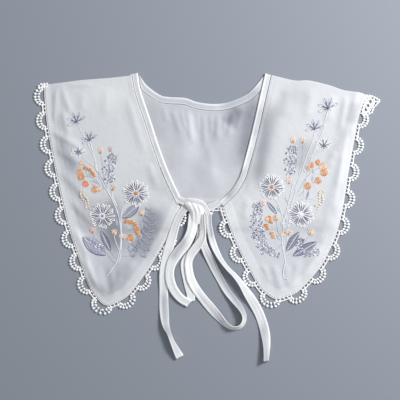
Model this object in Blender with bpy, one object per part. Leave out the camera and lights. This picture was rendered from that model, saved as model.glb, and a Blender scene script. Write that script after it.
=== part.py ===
"""Detachable collar of sheer white cloth with scalloped lace, laid flat with its neck ties in a bow.

Every length is in millimetres until a mesh is made. x runs to the right of the collar as it
lies, y runs away from the viewer towards the shoulder folds, and z rises from the surface.
The back panel lies lowest, the two fronts are folded over on it, and the ties lie on top.
"""

import math
from collections import namedtuple

import bmesh
import bpy
import numpy as np
from mathutils import Vector
from mathutils.geometry import delaunay_2d_cdt

MM = 0.001

# Cloth and seams
CLOTH = 1.2  # both layers of sheer cloth together
GAP = 0.3  # between pieces that are sewn to or lie on each other
OVER_BACK = CLOTH + GAP  # where a front rests on the back panel
BINDING_WIDTH = 7.2
BINDING_THICK = 2.0
BACK_BINDING_WIDTH = 8.0
BINDING_EDGE = 0.8  # how far the crown of a binding is set in from its edges

# How the fronts turn over the back panel's shoulder edge
FOLD_REACH = 2.0  # the fold passes the back panel's edge by this
FOLD_WALL = 1.4  # cloth that hangs down to the surface outside that edge
FOLD_STEP = 0.3
FOLD_DROP = 1.1  # how far the rounded fold falls at its outermost line

# How the fronts settle to the surface beyond the back panel
SETTLE_FROM = 8.0
SETTLE_TO = 18.0

# Steps between mesh points
CORNER_CLEAR = 1.5  # no point of one side of a panel lies closer to the next side
EDGE_STEP = 5.5
GRID_STEP = 9.5
HIDDEN_GRID_STEP = 17.0
STRIP_STEP = 5.0
TIE_STEP = 4.5

# Guipure lace: one scallop is an arc of thread beads round a half-moon hole
LACE_THICK = 1.2
LACE_HEADER = 1.3  # plain edge that is sewn to the cloth
LACE_BAR = 4.8  # depth of the ladder between two scallops
BAR_SHORT = 1.2  # how far the ladder's corners stay from the middle between two scallops
SCALLOP_RISE = 1.4  # centre of a scallop's arcs above the cloth edge
SCALLOP_RADIUS = 12.2  # to the tips of the outer beads
BEAD_DEPTH = 1.0
BEADS = 10
BEAD_SPAN = math.radians(168)  # angle that the outer beads fill
BEAD_FLAT = 0.26  # half width of a bead's tip, as a share of the bead's angle
HOLE_RADIUS = 6.6
HOLE_POINTS = 7
LEFT_SCALLOPS = 15
RIGHT_SCALLOPS = 12
RIGHT_START = 14.0  # the lace is folded into a plain corner up to here
RIGHT_END = 10.0  # and is plain for this much where it meets the neck
BACK_SCALLOPS = 7
BACK_PITCH = 33.6
BACK_NOTCH = 13.8  # x of the notch that shows between the right front and the tie

TIE_THICK = 1.2
TIE_EDGE = 0.5  # rounding of a tie's long edges

OUTLINE_MIDDLE = (0.45, 0.0)  # middle of the whole outline, where the origin is put

Point = namedtuple("Point", "x y")
TiePoint = namedtuple("TiePoint", "x y lift width tilt")
Fold = namedtuple("Fold", "x1 y1 x2 y2 height spread")

# The fold line over each shoulder, from the outer corner to the neck corner
LEFT_SHOULDER = [
    Point(-192.6, 159.0), Point(-172.2, 161.4), Point(-149.4, 164.4),
    Point(-118.2, 166.8), Point(-91.8, 169.8), Point(-82.2, 172.8),
]
RIGHT_SHOULDER = [
    Point(191.4, 146.4), Point(184.2, 149.4), Point(163.8, 152.4), Point(148.2, 157.8),
    Point(123.0, 163.8), Point(106.2, 163.8), Point(82.2, 169.2), Point(70.2, 172.2),
]

# The cloth edge that carries the lace, from the shoulder's outer corner round the point to the neck
LEFT_HEM = [
    Point(-192.6, 159.0), Point(-193.8, 146.4), Point(-189.6, 104.4), Point(-175.8, 32.4),
    Point(-165.0, -12.0), Point(-150.6, -55.2), Point(-142.2, -79.2), Point(-132.6, -94.8),
    Point(-119.4, -105.6), Point(-99.0, -97.2), Point(-87.0, -85.2), Point(-67.8, -58.8),
    Point(-46.2, -21.6), Point(-36.6, 1.2), Point(-31.8, 13.2),
]
RIGHT_HEM = [
    Point(191.4, 146.4), Point(185.4, 130.8), Point(180.0, 110.4), Point(169.2, 50.4),
    Point(163.8, 15.6), Point(156.6, -15.6), Point(147.0, -39.6), Point(135.0, -61.2),
    Point(111.0, -87.6), Point(96.6, -94.8), Point(83.4, -97.8), Point(71.4, -91.2),
    Point(61.8, -80.4), Point(43.8, -48.0), Point(30.6, -19.2), Point(19.8, 12.0),
]

# The folded corner of lace at the right shoulder
RIGHT_CORNER = [
    Point(192.6, 147.2), Point(199.2, 145.6), Point(208.2, 140.2), Point(204.4, 135.4),
    Point(199.8, 131.2), Point(192.4, 130.8),
]

# The free edge of the neck binding down each front, from the shoulder to where the tie begins
LEFT_NECK = [
    Point(-82.2, 172.8), Point(-78.6, 151.2), Point(-66.6, 115.2), Point(-58.2, 88.8),
    Point(-48.6, 62.4), Point(-39.0, 40.2), Point(-29.4, 20.4),
]
RIGHT_NECK = [
    Point(70.2, 172.2), Point(64.2, 146.4), Point(57.0, 114.0), Point(49.8, 84.0),
    Point(41.4, 54.0), Point(36.6, 43.2), Point(29.4, 32.4), Point(15.0, 18.0),
]

# The free edge of the binding round the back of the neck, from left to right
BACK_NECK = [
    Point(-81.0, 171.6), Point(-77.4, 165.6), Point(-70.2, 156.6), Point(-55.8, 146.4),
    Point(-45.0, 144.0), Point(-25.8, 142.8), Point(-11.4, 138.0), Point(6.6, 135.6),
    Point(22.2, 136.8), Point(36.6, 141.6), Point(48.6, 147.6), Point(58.2, 156.6),
    Point(67.8, 168.0),
]

# The back panel's sides and hem, nearly all of it hidden, from the left shoulder round to the right
BACK_SIDES = [
    Point(-171.0, 159.4), Point(-166.0, 100.0), Point(-152.0, 30.0), Point(-143.0, 11.4),
    Point(136.0, 11.4), Point(144.0, 30.0), Point(158.0, 100.0), Point(170.0, 149.4),
]

# Soft folds: each runs from one end to the other, with its height and half width
LEFT_FOLDS = [
    Fold(-163, 14, -134, -18, 2.0, 9),
    Fold(-186, 104, -150, 132, 1.4, 10),
    Fold(-118, -78, -92, -52, 1.6, 9),
    Fold(-96, 150, -70, 70, 1.2, 8),
]
RIGHT_FOLDS = [
    Fold(176, 108, 140, 138, 1.6, 10),
    Fold(166, 66, 134, 84, 1.2, 9),
    Fold(134, -38, 100, -60, 1.8, 9),
    Fold(84, 150, 66, 66, 1.2, 8),
]
GATHERED_HALF = 62.0  # half width of the part of the back that carries gathers
GATHERED_FROM = 74.0  # and the y where they start
BACK_GATHERS = [
    Fold(-40, 132, -30, 96, 0.9, 4),
    Fold(-20, 132, -14, 84, 1.0, 4),
    Fold(-4, 126, -2, 78, 0.8, 4),
    Fold(14, 124, 12, 88, 1.1, 4),
    Fold(32, 126, 24, 92, 0.9, 4),
]

# The ties: lift is the lowest point, and tilt turns the ribbon up on its edge
TAIL_LEFT = [
    TiePoint(-21.5, 12.0, 3.1, 9.0, 10), TiePoint(-27.0, 8.0, 3.1, 9.0, 15),
    TiePoint(-32.5, 0.6, 3.1, 9.5, 15), TiePoint(-36.8, -9.6, 3.0, 10.0, 10),
    TiePoint(-41.4, -25.2, 1.6, 10.5, 0), TiePoint(-45.6, -39.6, 1.5, 11.0, 0),
    TiePoint(-49.2, -54.0, 1.5, 11.0, 0), TiePoint(-51.0, -69.6, 1.5, 11.0, 0),
    TiePoint(-51.2, -87.6, 0.3, 11.0, 0), TiePoint(-51.2, -103.2, 0.0, 11.0, 0),
    TiePoint(-50.4, -117.6, 0.0, 10.5, -8), TiePoint(-48.6, -129.6, 0.0, 10.5, -30),
    TiePoint(-45.0, -139.2, 0.0, 10.5, -56), TiePoint(-40.8, -150.0, 0.0, 10.5, -56),
    TiePoint(-36.0, -159.6, 0.0, 10.5, -35), TiePoint(-31.8, -168.0, 0.0, 10.5, -15),
]
TAIL_RIGHT = [
    TiePoint(2.6, 3.2, 4.6, 7.0, 15), TiePoint(2.8, -6.0, 4.6, 7.0, 12),
    TiePoint(4.6, -18.0, 4.4, 7.2, 5), TiePoint(7.4, -30.0, 2.4, 7.6, -8),
    TiePoint(11.6, -42.0, 1.0, 8.4, -28), TiePoint(17.0, -52.8, 0.2, 9.4, -46),
    TiePoint(24.0, -62.4, 0.0, 10.0, -56), TiePoint(32.4, -70.8, 0.8, 10.5, -54),
    TiePoint(40.8, -80.4, 1.5, 10.5, -40), TiePoint(48.6, -90.6, 1.5, 10.5, -20),
    TiePoint(55.8, -102.0, 1.5, 11.0, 0), TiePoint(61.8, -112.8, 0.6, 11.5, 0),
    TiePoint(66.6, -124.8, 0.0, 11.5, 0), TiePoint(70.2, -138.0, 0.0, 11.0, -8),
    TiePoint(72.0, -151.2, 0.0, 10.5, -25), TiePoint(72.0, -162.0, 0.0, 10.5, -42),
    TiePoint(71.4, -172.6, 0.0, 10.5, -52),
]
LOOP_LEFT_OUT = [
    TiePoint(-15.6, 4.0, 4.6, 11.0, 0), TiePoint(-16.4, -6.0, 4.6, 11.5, 0),
    TiePoint(-18.2, -18.0, 4.4, 12.0, 0), TiePoint(-24.6, -31.2, 4.0, 12.5, 0),
    TiePoint(-33.0, -41.4, 3.4, 12.5, 0), TiePoint(-39.2, -50.4, 3.1, 12.0, 0),
    TiePoint(-43.2, -60.0, 3.1, 11.0, 0), TiePoint(-44.0, -70.8, 3.1, 10.5, 0),
    TiePoint(-41.6, -81.6, 2.8, 10.5, 0), TiePoint(-36.4, -91.2, 2.0, 10.5, 0),
    TiePoint(-29.4, -98.6, 1.6, 10.5, 0), TiePoint(-20.8, -103.4, 1.5, 10.0, 0),
]
LOOP_LEFT_BACK = [
    TiePoint(-19.0, -100.6, 0.0, 10.0, 0), TiePoint(-18.8, -92.4, 0.0, 10.0, 0),
    TiePoint(-21.6, -84.0, 0.0, 9.0, 0), TiePoint(-24.6, -73.2, 0.0, 8.5, 0),
    TiePoint(-26.6, -63.6, 0.0, 8.5, 0), TiePoint(-26.4, -54.0, 0.0, 8.5, 0),
    TiePoint(-18.6, -42.4, 0.6, 9.0, 0), TiePoint(-11.4, -33.6, 1.2, 9.0, 0),
    TiePoint(-7.8, -22.8, 1.5, 9.0, 0), TiePoint(-6.8, -10.8, 1.5, 9.0, 0),
    TiePoint(-8.2, 2.6, 1.5, 9.0, 0),
]
LOOP_RIGHT = [
    TiePoint(-5.4, 3.4, 4.6, 9.0, 40), TiePoint(-5.0, -6.0, 4.6, 9.0, 38),
    TiePoint(-4.4, -18.0, 4.6, 9.0, 30), TiePoint(-6.4, -27.6, 4.5, 9.5, 15),
    TiePoint(-12.6, -36.8, 3.6, 10.0, 0), TiePoint(-18.4, -44.8, 2.4, 10.0, 0),
    TiePoint(-21.4, -54.0, 1.6, 9.5, 0), TiePoint(-20.8, -64.8, 1.6, 9.5, 0),
    TiePoint(-18.2, -75.6, 1.6, 10.0, 0), TiePoint(-12.0, -87.0, 1.3, 10.5, 0),
    TiePoint(-3.6, -98.4, 0.4, 10.8, 0), TiePoint(5.4, -109.2, 0.0, 10.8, 5),
    TiePoint(15.0, -120.0, 0.0, 10.5, 25), TiePoint(23.4, -128.6, 0.0, 10.5, 50),
    TiePoint(31.8, -133.0, 0.0, 10.5, 62), TiePoint(39.6, -131.8, 0.0, 10.5, 62),
    TiePoint(44.6, -126.0, 0.0, 10.5, 62), TiePoint(45.4, -118.2, 0.0, 10.5, 58),
    TiePoint(42.0, -109.8, 0.0, 10.5, 48), TiePoint(34.8, -100.2, 0.0, 10.0, 25),
    TiePoint(25.8, -88.8, 0.0, 10.0, 10), TiePoint(17.4, -75.6, 0.0, 10.0, 0),
    TiePoint(10.8, -63.6, 0.0, 10.0, 0), TiePoint(5.0, -51.6, 0.4, 10.0, 0),
    TiePoint(-0.4, -40.8, 1.8, 9.5, 0), TiePoint(-3.8, -31.2, 3.0, 9.0, 0),
    TiePoint(-4.8, -21.6, 3.0, 8.5, 0), TiePoint(-3.8, -9.6, 3.0, 8.5, 0),
    TiePoint(-3.0, 2.6, 3.0, 8.5, 0),
]
LOOP_RIGHT_TURN = 0.48  # share of the right loop's length where it turns back
TIE_START_LEFT = [
    TiePoint(-28.0, 19.6, 2.0, 7.0, 0), TiePoint(-24.0, 19.6, 4.6, 7.0, 0),
    TiePoint(-16.0, 21.6, 5.0, 7.0, 0), TiePoint(-8.0, 22.0, 7.0, 7.0, 0),
    TiePoint(-1.6, 18.4, 9.4, 7.0, 0), TiePoint(0.6, 11.6, 9.8, 7.0, 0),
    TiePoint(-0.6, 4.4, 9.0, 7.0, 0),
]
TIE_START_RIGHT = [
    TiePoint(14.2, 17.0, 2.0, 7.0, 0), TiePoint(10.2, 14.4, 3.6, 7.0, 0),
    TiePoint(5.4, 12.0, 5.0, 7.0, 0),
]

KNOT_MIDDLE = (-9.6, 11.4, 5.6)
KNOT_HALF = (9.4, 6.6, 4.0)

# name, colour, roughness
SHEER = ("sheer_cloth", (0.86, 0.88, 0.90), 0.62)
BINDING = ("binding_cloth", (0.93, 0.93, 0.93), 0.55)
LACE = ("lace_thread", (0.95, 0.95, 0.95), 0.70)
TIE = ("tie_cloth", (0.92, 0.92, 0.91), 0.55)


def clear_scene():
    for held in list(bpy.data.objects):
        bpy.data.objects.remove(held, do_unlink=True)


def material(spec):
    name, colour, roughness = spec
    made = bpy.data.materials.get(name) or bpy.data.materials.new(name)
    made.use_nodes = True
    shader = made.node_tree.nodes["Principled BSDF"]
    shader.inputs["Base Color"].default_value = (*colour, 1.0)
    shader.inputs["Roughness"].default_value = roughness
    shader.inputs["Metallic"].default_value = 0.0
    return made


def add_object(name, points, faces, spec):
    """Makes one closed solid from points in millimetres, with its faces turned outwards."""
    mesh = bpy.data.meshes.new(name)
    moved_points = [(p[0] - OUTLINE_MIDDLE[0], p[1] - OUTLINE_MIDDLE[1], p[2]) for p in points]
    mesh.from_pydata([tuple(float(c) * MM for c in p) for p in moved_points], [], faces)
    work = bmesh.new()
    work.from_mesh(mesh)
    bmesh.ops.triangulate(work, faces=work.faces)
    bmesh.ops.recalc_face_normals(work, faces=work.faces)
    work.to_mesh(mesh)
    work.free()
    mesh.materials.append(material(spec))
    made = bpy.data.objects.new(name, mesh)
    bpy.context.scene.collection.objects.link(made)
    return made


def smooth_curve(rows, step):
    """Points every step along the smooth curve through the rows, with every column carried along."""
    rows = np.array(rows, float)
    before = 2 * rows[0] - rows[1]
    after = 2 * rows[-1] - rows[-2]
    held = np.vstack([before, rows, after])
    fine = []
    for a, b, c, d in zip(held, held[1:], held[2:], held[3:]):
        for t in np.linspace(0, 1, 12, endpoint=False):
            bend = 2 * b + (c - a) * t
            bend += (2 * a - 5 * b + 4 * c - d) * t**2 + (3 * b - a - 3 * c + d) * t**3
            fine.append(bend / 2)
    fine.append(rows[-1])
    return even_steps(np.array(fine), step)


def even_steps(line, step):
    """The same line with its points the same distance apart, about one step."""
    along = run_length(line)
    count = max(2, round(along[-1] / step) + 1)
    wanted = np.linspace(0, along[-1], count)
    return np.column_stack([np.interp(wanted, along, line[:, k]) for k in range(line.shape[1])])


def run_length(line):
    sides = np.linalg.norm(np.diff(line[:, :2], axis=0), axis=1)
    return np.concatenate([[0], np.cumsum(sides)])


def left_normals(line):
    """Unit vectors to the left of each point of a line, seen from above."""
    heading = np.gradient(line[:, :2], axis=0)
    heading /= np.linalg.norm(heading, axis=1)[:, None]
    return np.column_stack([-heading[:, 1], heading[:, 0]])


def moved(line, distance):
    """The line moved sideways to its left by the distance."""
    return line[:, :2] + left_normals(line) * distance


def point_at(line, distance):
    along = run_length(line)
    return np.array([np.interp(distance, along, line[:, 0]), np.interp(distance, along, line[:, 1])])


def inside(points, loops):
    """True for each point that lies within an odd number of the loops."""
    points = np.asarray(points, float)
    found = np.zeros(len(points), bool)
    for loop in loops:
        a = np.asarray(loop, float)
        b = np.roll(a, -1, axis=0)
        for (ax, ay), (bx, by) in zip(a, b):
            if ay == by:
                continue
            spans = (ay > points[:, 1]) != (by > points[:, 1])
            cross = ax + (points[:, 1] - ay) * (bx - ax) / (by - ay)
            found ^= spans & (points[:, 0] < cross)
    return found


def distance_to(points, loop):
    """Distance of each point from a closed loop's nearest side."""
    points = np.asarray(points, float)
    best = np.full(len(points), np.inf)
    a = np.asarray(loop, float)
    b = np.roll(a, -1, axis=0)
    for start, end in zip(a, b):
        side = end - start
        share = np.clip((points - start) @ side / max(side @ side, 1e-9), 0, 1)
        nearest = start + share[:, None] * side
        best = np.minimum(best, np.linalg.norm(points - nearest, axis=1))
    return best


def smoothstep(low, high, value):
    share = np.clip((value - low) / (high - low), 0, 1)
    return share * share * (3 - 2 * share)


def folds_height(points, folds):
    """Height that soft folds add: each is a ridge that fades to its ends and its sides."""
    points = np.asarray(points, float)
    total = np.zeros(len(points))
    for fold in folds:
        start = np.array([fold.x1, fold.y1])
        run = np.array([fold.x2, fold.y2]) - start
        length = np.linalg.norm(run)
        along = (points - start) @ run / length**2
        across = (points - start) @ np.array([-run[1], run[0]]) / length
        ends = smoothstep(0, 0.3, along) * (1 - smoothstep(0.7, 1, along))
        total += fold.height * ends * np.exp(-((across / fold.spread) ** 2))
    return total


def flat_mesh(loops, lines=(), extra=()):
    """Triangles of the flat region within the loops, with the lines kept as edges."""
    points, edges = [], []
    for loop in loops:
        first = len(points)
        points += [tuple(p[:2]) for p in loop]
        edges += [(first + i, first + (i + 1) % len(loop)) for i in range(len(loop))]
    for line in lines:
        first = len(points)
        points += [tuple(p[:2]) for p in line]
        edges += [(first + i, first + i + 1) for i in range(len(line) - 1)]
    points += [tuple(p[:2]) for p in extra]
    result = delaunay_2d_cdt([Vector(p) for p in points], edges, [], 0, 1e-4)
    flat = np.array([tuple(v) for v in result[0]])
    faces = [tuple(face) for face in result[2]]
    middles = np.array([flat[list(face)].mean(axis=0) for face in faces])
    kept = inside(middles, loops)
    faces = [face for face, keep in zip(faces, kept) if keep]
    used = sorted({v for face in faces for v in face})
    place = {v: i for i, v in enumerate(used)}
    return flat[used], [tuple(place[v] for v in face) for face in faces]


def sheet(name, flat, faces, bottom, top, spec):
    """Closes a flat mesh into a solid between a bottom and a top height at each point."""
    count = len(flat)
    points = np.vstack([np.column_stack([flat, bottom]), np.column_stack([flat, top])])
    solid = [tuple(v + count for v in face) for face in faces]
    solid += [tuple(reversed(face)) for face in faces]
    uses = {}
    for face in faces:
        for a, b in zip(face, face[1:] + face[:1]):
            uses.setdefault(frozenset((a, b)), []).append((a, b))
    for pair in uses.values():
        if len(pair) == 1:
            a, b = pair[0]
            solid.append((a, b, b + count, a + count))
    return add_object(name, points, solid, spec)


def grid_inside(loops, margin, step=GRID_STEP):
    """A staggered grid of points within the loops, clear of every side by the margin."""
    every = np.vstack([np.asarray(loop)[:, :2] for loop in loops])
    low, high = every.min(axis=0), every.max(axis=0)
    found = []
    rows = np.arange(low[1], high[1], step * 0.87)
    for index, y in enumerate(rows):
        offset = step / 2 if index % 2 else 0.0
        found += [(x, y) for x in np.arange(low[0] + offset, high[0], step)]
    found = np.array(found)
    found = found[inside(found, loops)]
    for loop in loops:
        found = found[distance_to(found, loop) > margin]
    return found


def sweep(name, rings, spec):
    """Joins rings of points, all of one count, into a closed strip."""
    size = len(rings[0])
    points = np.vstack(rings)
    faces = []
    for r in range(len(rings) - 1):
        for k in range(size):
            n = (k + 1) % size
            faces.append((r * size + k, r * size + n, (r + 1) * size + n, (r + 1) * size + k))
    last = (len(rings) - 1) * size
    faces.append(tuple(range(size - 1, -1, -1)))
    faces.append(tuple(last + k for k in range(size)))
    return add_object(name, points, faces, spec)


def between(line, low_x, high_x):
    """The points of a line that lie between two values of x, and clear of both."""
    return line[(line[:, 0] > low_x + CORNER_CLEAR) & (line[:, 0] < high_x - CORNER_CLEAR)]


class Back:
    """The back panel, its outline and the height at which a front lies over it."""

    def __init__(self):
        neck = smooth_curve(BACK_NECK, EDGE_STEP)
        self.neck_edge = moved(neck, -(BACK_BINDING_WIDTH + GAP))
        left_edge = moved(smooth_curve(LEFT_SHOULDER, EDGE_STEP), -FOLD_REACH)
        right_edge = moved(smooth_curve(RIGHT_SHOULDER, EDGE_STEP), FOLD_REACH)
        sides = np.array(BACK_SIDES)
        corners = len(sides) // 2
        left_edge = between(left_edge, sides[0, 0], self.neck_edge[0, 0])
        right_edge = between(right_edge, self.neck_edge[-1, 0], sides[-1, 0])
        left_side = even_steps(sides[:corners], 2 * EDGE_STEP)
        hem = even_steps(sides[corners - 1 : corners + 1], EDGE_STEP)
        right_side = even_steps(sides[corners:], 2 * EDGE_STEP)
        upper = np.vstack([right_edge, self.neck_edge[::-1], left_edge[::-1]])
        self.outline = np.vstack([left_side, hem[1:-1], right_side, upper])
        self.hem_y = hem[0, 1]
        low_hem = hem[[0, -1]] - np.array([0.0, SCALLOP_RISE + SCALLOP_RADIUS])
        self.zone = np.vstack([left_side, low_hem, right_side, upper])

    def height(self, points):
        """Underside of a piece that lies over the back, settling to the surface beyond it."""
        points = np.asarray(points, float)[:, :2]
        away = np.where(inside(points, [self.zone]), 0.0, distance_to(points, self.zone))
        return OVER_BACK * (1 - smoothstep(SETTLE_FROM, SETTLE_TO, away))


def back_panel(back):
    gathered = grid_inside([back.outline], 3.0)
    gathered = gathered[(np.abs(gathered[:, 0]) < GATHERED_HALF) & (gathered[:, 1] > GATHERED_FROM)]
    plain = grid_inside([back.outline], 5.0, HIDDEN_GRID_STEP)
    plain = plain[(np.abs(plain[:, 0]) > GATHERED_HALF) | (plain[:, 1] < GATHERED_FROM)]
    flat, faces = flat_mesh([back.outline], extra=np.vstack([gathered, plain]))
    top = CLOTH + folds_height(flat, BACK_GATHERS)
    return sheet("back_panel", flat, faces, np.zeros(len(flat)), top, SHEER)


def binding_ring(outer, across, low, high):
    """One section of a binding: flat below and crowned above, from its free edge to the panel."""
    edge = BINDING_EDGE / BINDING_WIDTH
    shares = [(0, 0), (1, 0), (1, 0.6), (1 - edge, 1), (0.5, 0.92), (edge, 1), (0, 0.6)]
    return [(*(outer + across * s), low + (high - low) * h) for s, h in shares]


def back_binding():
    """The binding round the back of the neck, which ends where the front bindings cross it."""
    left, right = smooth_curve(LEFT_NECK, EDGE_STEP), smooth_curve(RIGHT_NECK, EDGE_STEP)
    neck = smooth_curve(BACK_NECK, STRIP_STEP)
    normals = left_normals(neck)
    rings = []
    for place, normal in zip(neck, normals):
        across = -normal * BACK_BINDING_WIDTH
        reach = 1.0
        for share in np.linspace(1.0, 0.05, 20):
            far = place + across * share
            low_x = np.interp(far[1], left[::-1, 1], left[::-1, 0]) + GAP
            high_x = np.interp(far[1], right[::-1, 1], right[::-1, 0]) - GAP
            reach = share
            if low_x < far[0] < high_x:
                break
        rings.append(binding_ring(place, across * reach, 0.0, BINDING_THICK))
    return sweep("binding_back", rings, BINDING)


def front_binding(name, neck_rows, side, back):
    """The binding down a front's neck edge. side is 1 where the panel lies to its left."""
    neck = smooth_curve(neck_rows, STRIP_STEP)
    along = run_length(neck)
    fold = np.array([0.0, FOLD_WALL, FOLD_WALL + FOLD_STEP])
    stations = np.concatenate([fold, along[1:]])
    normals = left_normals(neck) * side
    rings = []
    for s in stations:
        place = point_at(neck, s)
        normal = np.array([np.interp(s, along, normals[:, 0]), np.interp(s, along, normals[:, 1])])
        normal /= np.linalg.norm(normal)
        low = 0.0 if s <= FOLD_WALL else float(back.height([place + normal * BINDING_WIDTH / 2])[0])
        high = OVER_BACK + BINDING_THICK
        high -= FOLD_DROP if s == 0 else 0.0
        rings.append(binding_ring(place, normal * BINDING_WIDTH, low, high))
    return sweep(name, rings, BINDING)


def front_panel(name, shoulder_rows, hem_rows, neck_rows, side, folds, back):
    """One front, folded over at the shoulder. side is 1 for the left front, -1 for the right."""
    neck = smooth_curve(neck_rows, EDGE_STEP)
    neck_edge = moved(neck, -side * (BINDING_WIDTH + GAP))
    hem = smooth_curve(hem_rows, EDGE_STEP)
    shoulder = smooth_curve(shoulder_rows, EDGE_STEP)
    corner = neck_edge[0]
    shoulder = shoulder[np.linalg.norm(shoulder - corner, axis=1) > EDGE_STEP / 2]
    shoulder = shoulder[(shoulder[:, 0] - corner[0]) * side < 0]
    steps = (FOLD_WALL, FOLD_WALL + FOLD_STEP)
    lines = []
    for step in steps:
        inner = moved(shoulder, -side * step)[1:]
        lines.append(np.vstack([point_at(hem, step), inner, point_at(neck_edge, step)]))
    starts = np.array([point_at(hem, step) for step in steps])
    ends = np.array([point_at(neck_edge, step) for step in steps])
    outline = np.vstack([shoulder, corner, ends, neck_edge[1:], hem[:0:-1], starts[::-1]])
    inner_points = grid_inside([outline], 4.0)
    flat, faces = flat_mesh([outline], lines=lines, extra=inner_points)
    bottom = back.height(flat)
    lift = folds_height(flat, folds)
    fold_zone = np.vstack([shoulder, corner[None], lines[0][::-1]])
    on_wall = inside(flat, [fold_zone]) | (distance_to(flat, fold_zone) < 0.02)
    top = bottom + CLOTH + lift
    bottom = np.where(on_wall, 0.0, bottom + lift)
    outermost = np.vstack([shoulder, corner[None]])
    on_fold = np.min(np.linalg.norm(flat[:, None] - outermost[None], axis=2), axis=1) < 0.02
    top = np.where(on_fold & (top > CLOTH + FOLD_DROP), top - FOLD_DROP, top)
    return sheet(name, flat, faces, bottom, top, SHEER)


def scallop_edge(pitch):
    """One scallop's outer outline as (along, out) pairs from its middle, left to right."""
    pairs = []
    step = BEAD_SPAN / BEADS
    for bead in range(BEADS):
        middle = math.pi / 2 + BEAD_SPAN / 2 - (bead + 0.5) * step
        for turn in (BEAD_FLAT, -BEAD_FLAT):
            angle = middle + turn * step
            pairs.append((SCALLOP_RADIUS, angle))
        if bead < BEADS - 1:
            pairs.append((SCALLOP_RADIUS - BEAD_DEPTH, middle - step / 2))
    outline = [(r * math.cos(a), SCALLOP_RISE + r * math.sin(a)) for r, a in pairs]
    bar = pitch / 2 - BAR_SHORT
    kept = [(x, y) for x, y in outline if y > LACE_BAR or abs(x) < bar]
    return [(-bar, LACE_BAR), *kept, (bar, LACE_BAR)]


def scallop_hole():
    """The half-moon hole of one scallop, as (along, out) pairs."""
    base = GAP + LACE_HEADER
    rise = base - SCALLOP_RISE
    start = math.asin(max(0.0, rise) / HOLE_RADIUS)
    angles = np.linspace(start, math.pi - start, HOLE_POINTS)
    arc = [(HOLE_RADIUS * math.cos(a), SCALLOP_RISE + HOLE_RADIUS * math.sin(a)) for a in angles]
    return arc + [(HOLE_RADIUS * share, base) for share in (-0.5, 0.0, 0.5)]


def lace(name, edge, count, side, height, start=0.0, end=0.0, corner=()):
    """Lace along a cloth edge, with plain stretches of the given lengths at its start and end.

    side is 1 where the lace lies to the left of the edge. corner replaces its first point.
    """
    fine = even_steps(edge, 1.0)
    along = run_length(fine)
    normals = left_normals(fine) * side
    pitch = (along[-1] - start - end) / count

    def place(s, out):
        spot = point_at(fine, s)
        normal = np.array([np.interp(s, along, normals[:, k]) for k in range(2)])
        return spot + normal / np.linalg.norm(normal) * out

    outer, holes = [], []
    for index in range(count):
        middle = start + (index + 0.5) * pitch
        outer += [place(middle + x, y) for x, y in scallop_edge(pitch)]
        holes.append(np.array([place(middle + x, y) for x, y in scallop_hole()]))
    inner = [place(s, GAP) for s in np.linspace(0, along[-1], len(even_steps(edge, EDGE_STEP)))]
    first = [np.array(point) for point in corner] or [place(0, LACE_BAR)]
    outline = np.array([*first, *outer, place(along[-1], LACE_BAR), *inner[::-1]])
    flat, faces = flat_mesh([outline, *holes])
    bottom = height(flat)
    return sheet(name, flat, faces, bottom, bottom + LACE_THICK, LACE)


def back_lace(back):
    first = BACK_NOTCH - 4 * BACK_PITCH
    edge = np.array([[first, back.hem_y], [first + BACK_SCALLOPS * BACK_PITCH, back.hem_y]])
    return lace("lace_back", edge, BACK_SCALLOPS, -1, lambda flat: np.zeros(len(flat)))


def tie(names, rows, part_at=None):
    """A flat tie along its rows, each ring a ribbon section turned by its tilt.

    Where part_at is given, the tie is two solids that meet at that share of its length.
    """
    line = smooth_curve(rows, TIE_STEP)
    normals = left_normals(line)
    rings = []
    for (x, y, lift, width, tilt), normal in zip(line, normals):
        turn = math.radians(tilt)
        half, thick = width / 2, TIE_THICK / 2
        section = [
            (-half, 0), (-half + TIE_EDGE, -thick), (half - TIE_EDGE, -thick),
            (half, 0), (half - TIE_EDGE, thick), (-half + TIE_EDGE, thick),
        ]
        turned = [
            (s * math.cos(turn) - h * math.sin(turn), s * math.sin(turn) + h * math.cos(turn))
            for s, h in section
        ]
        lowest = min(h for _, h in turned)
        base = max(lift, 0.0) - lowest
        rings.append([(x + normal[0] * s, y + normal[1] * s, base + h) for s, h in turned])
    if part_at is None:
        return [sweep(names[0], rings, TIE)]
    cut = round(part_at * (len(rings) - 1))
    before, after = np.array(rings[cut]), np.array(rings[cut + 1])
    share = GAP / np.linalg.norm(after - before, axis=1).min()
    opened = before + (after - before) * share
    return [sweep(names[0], rings[: cut + 1], TIE), sweep(names[1], [opened, *rings[cut + 1 :]], TIE)]


def knot():
    """The body of the bow's knot, a low rounded lump under the wrapped tie."""
    work = bmesh.new()
    bmesh.ops.create_uvsphere(work, u_segments=16, v_segments=10, radius=1.0)
    points = [
        tuple(m + h * c for m, h, c in zip(KNOT_MIDDLE, KNOT_HALF, v.co)) for v in work.verts
    ]
    faces = [tuple(v.index for v in face.verts) for face in work.faces]
    work.free()
    return add_object("knot", points, faces, TIE)


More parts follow.
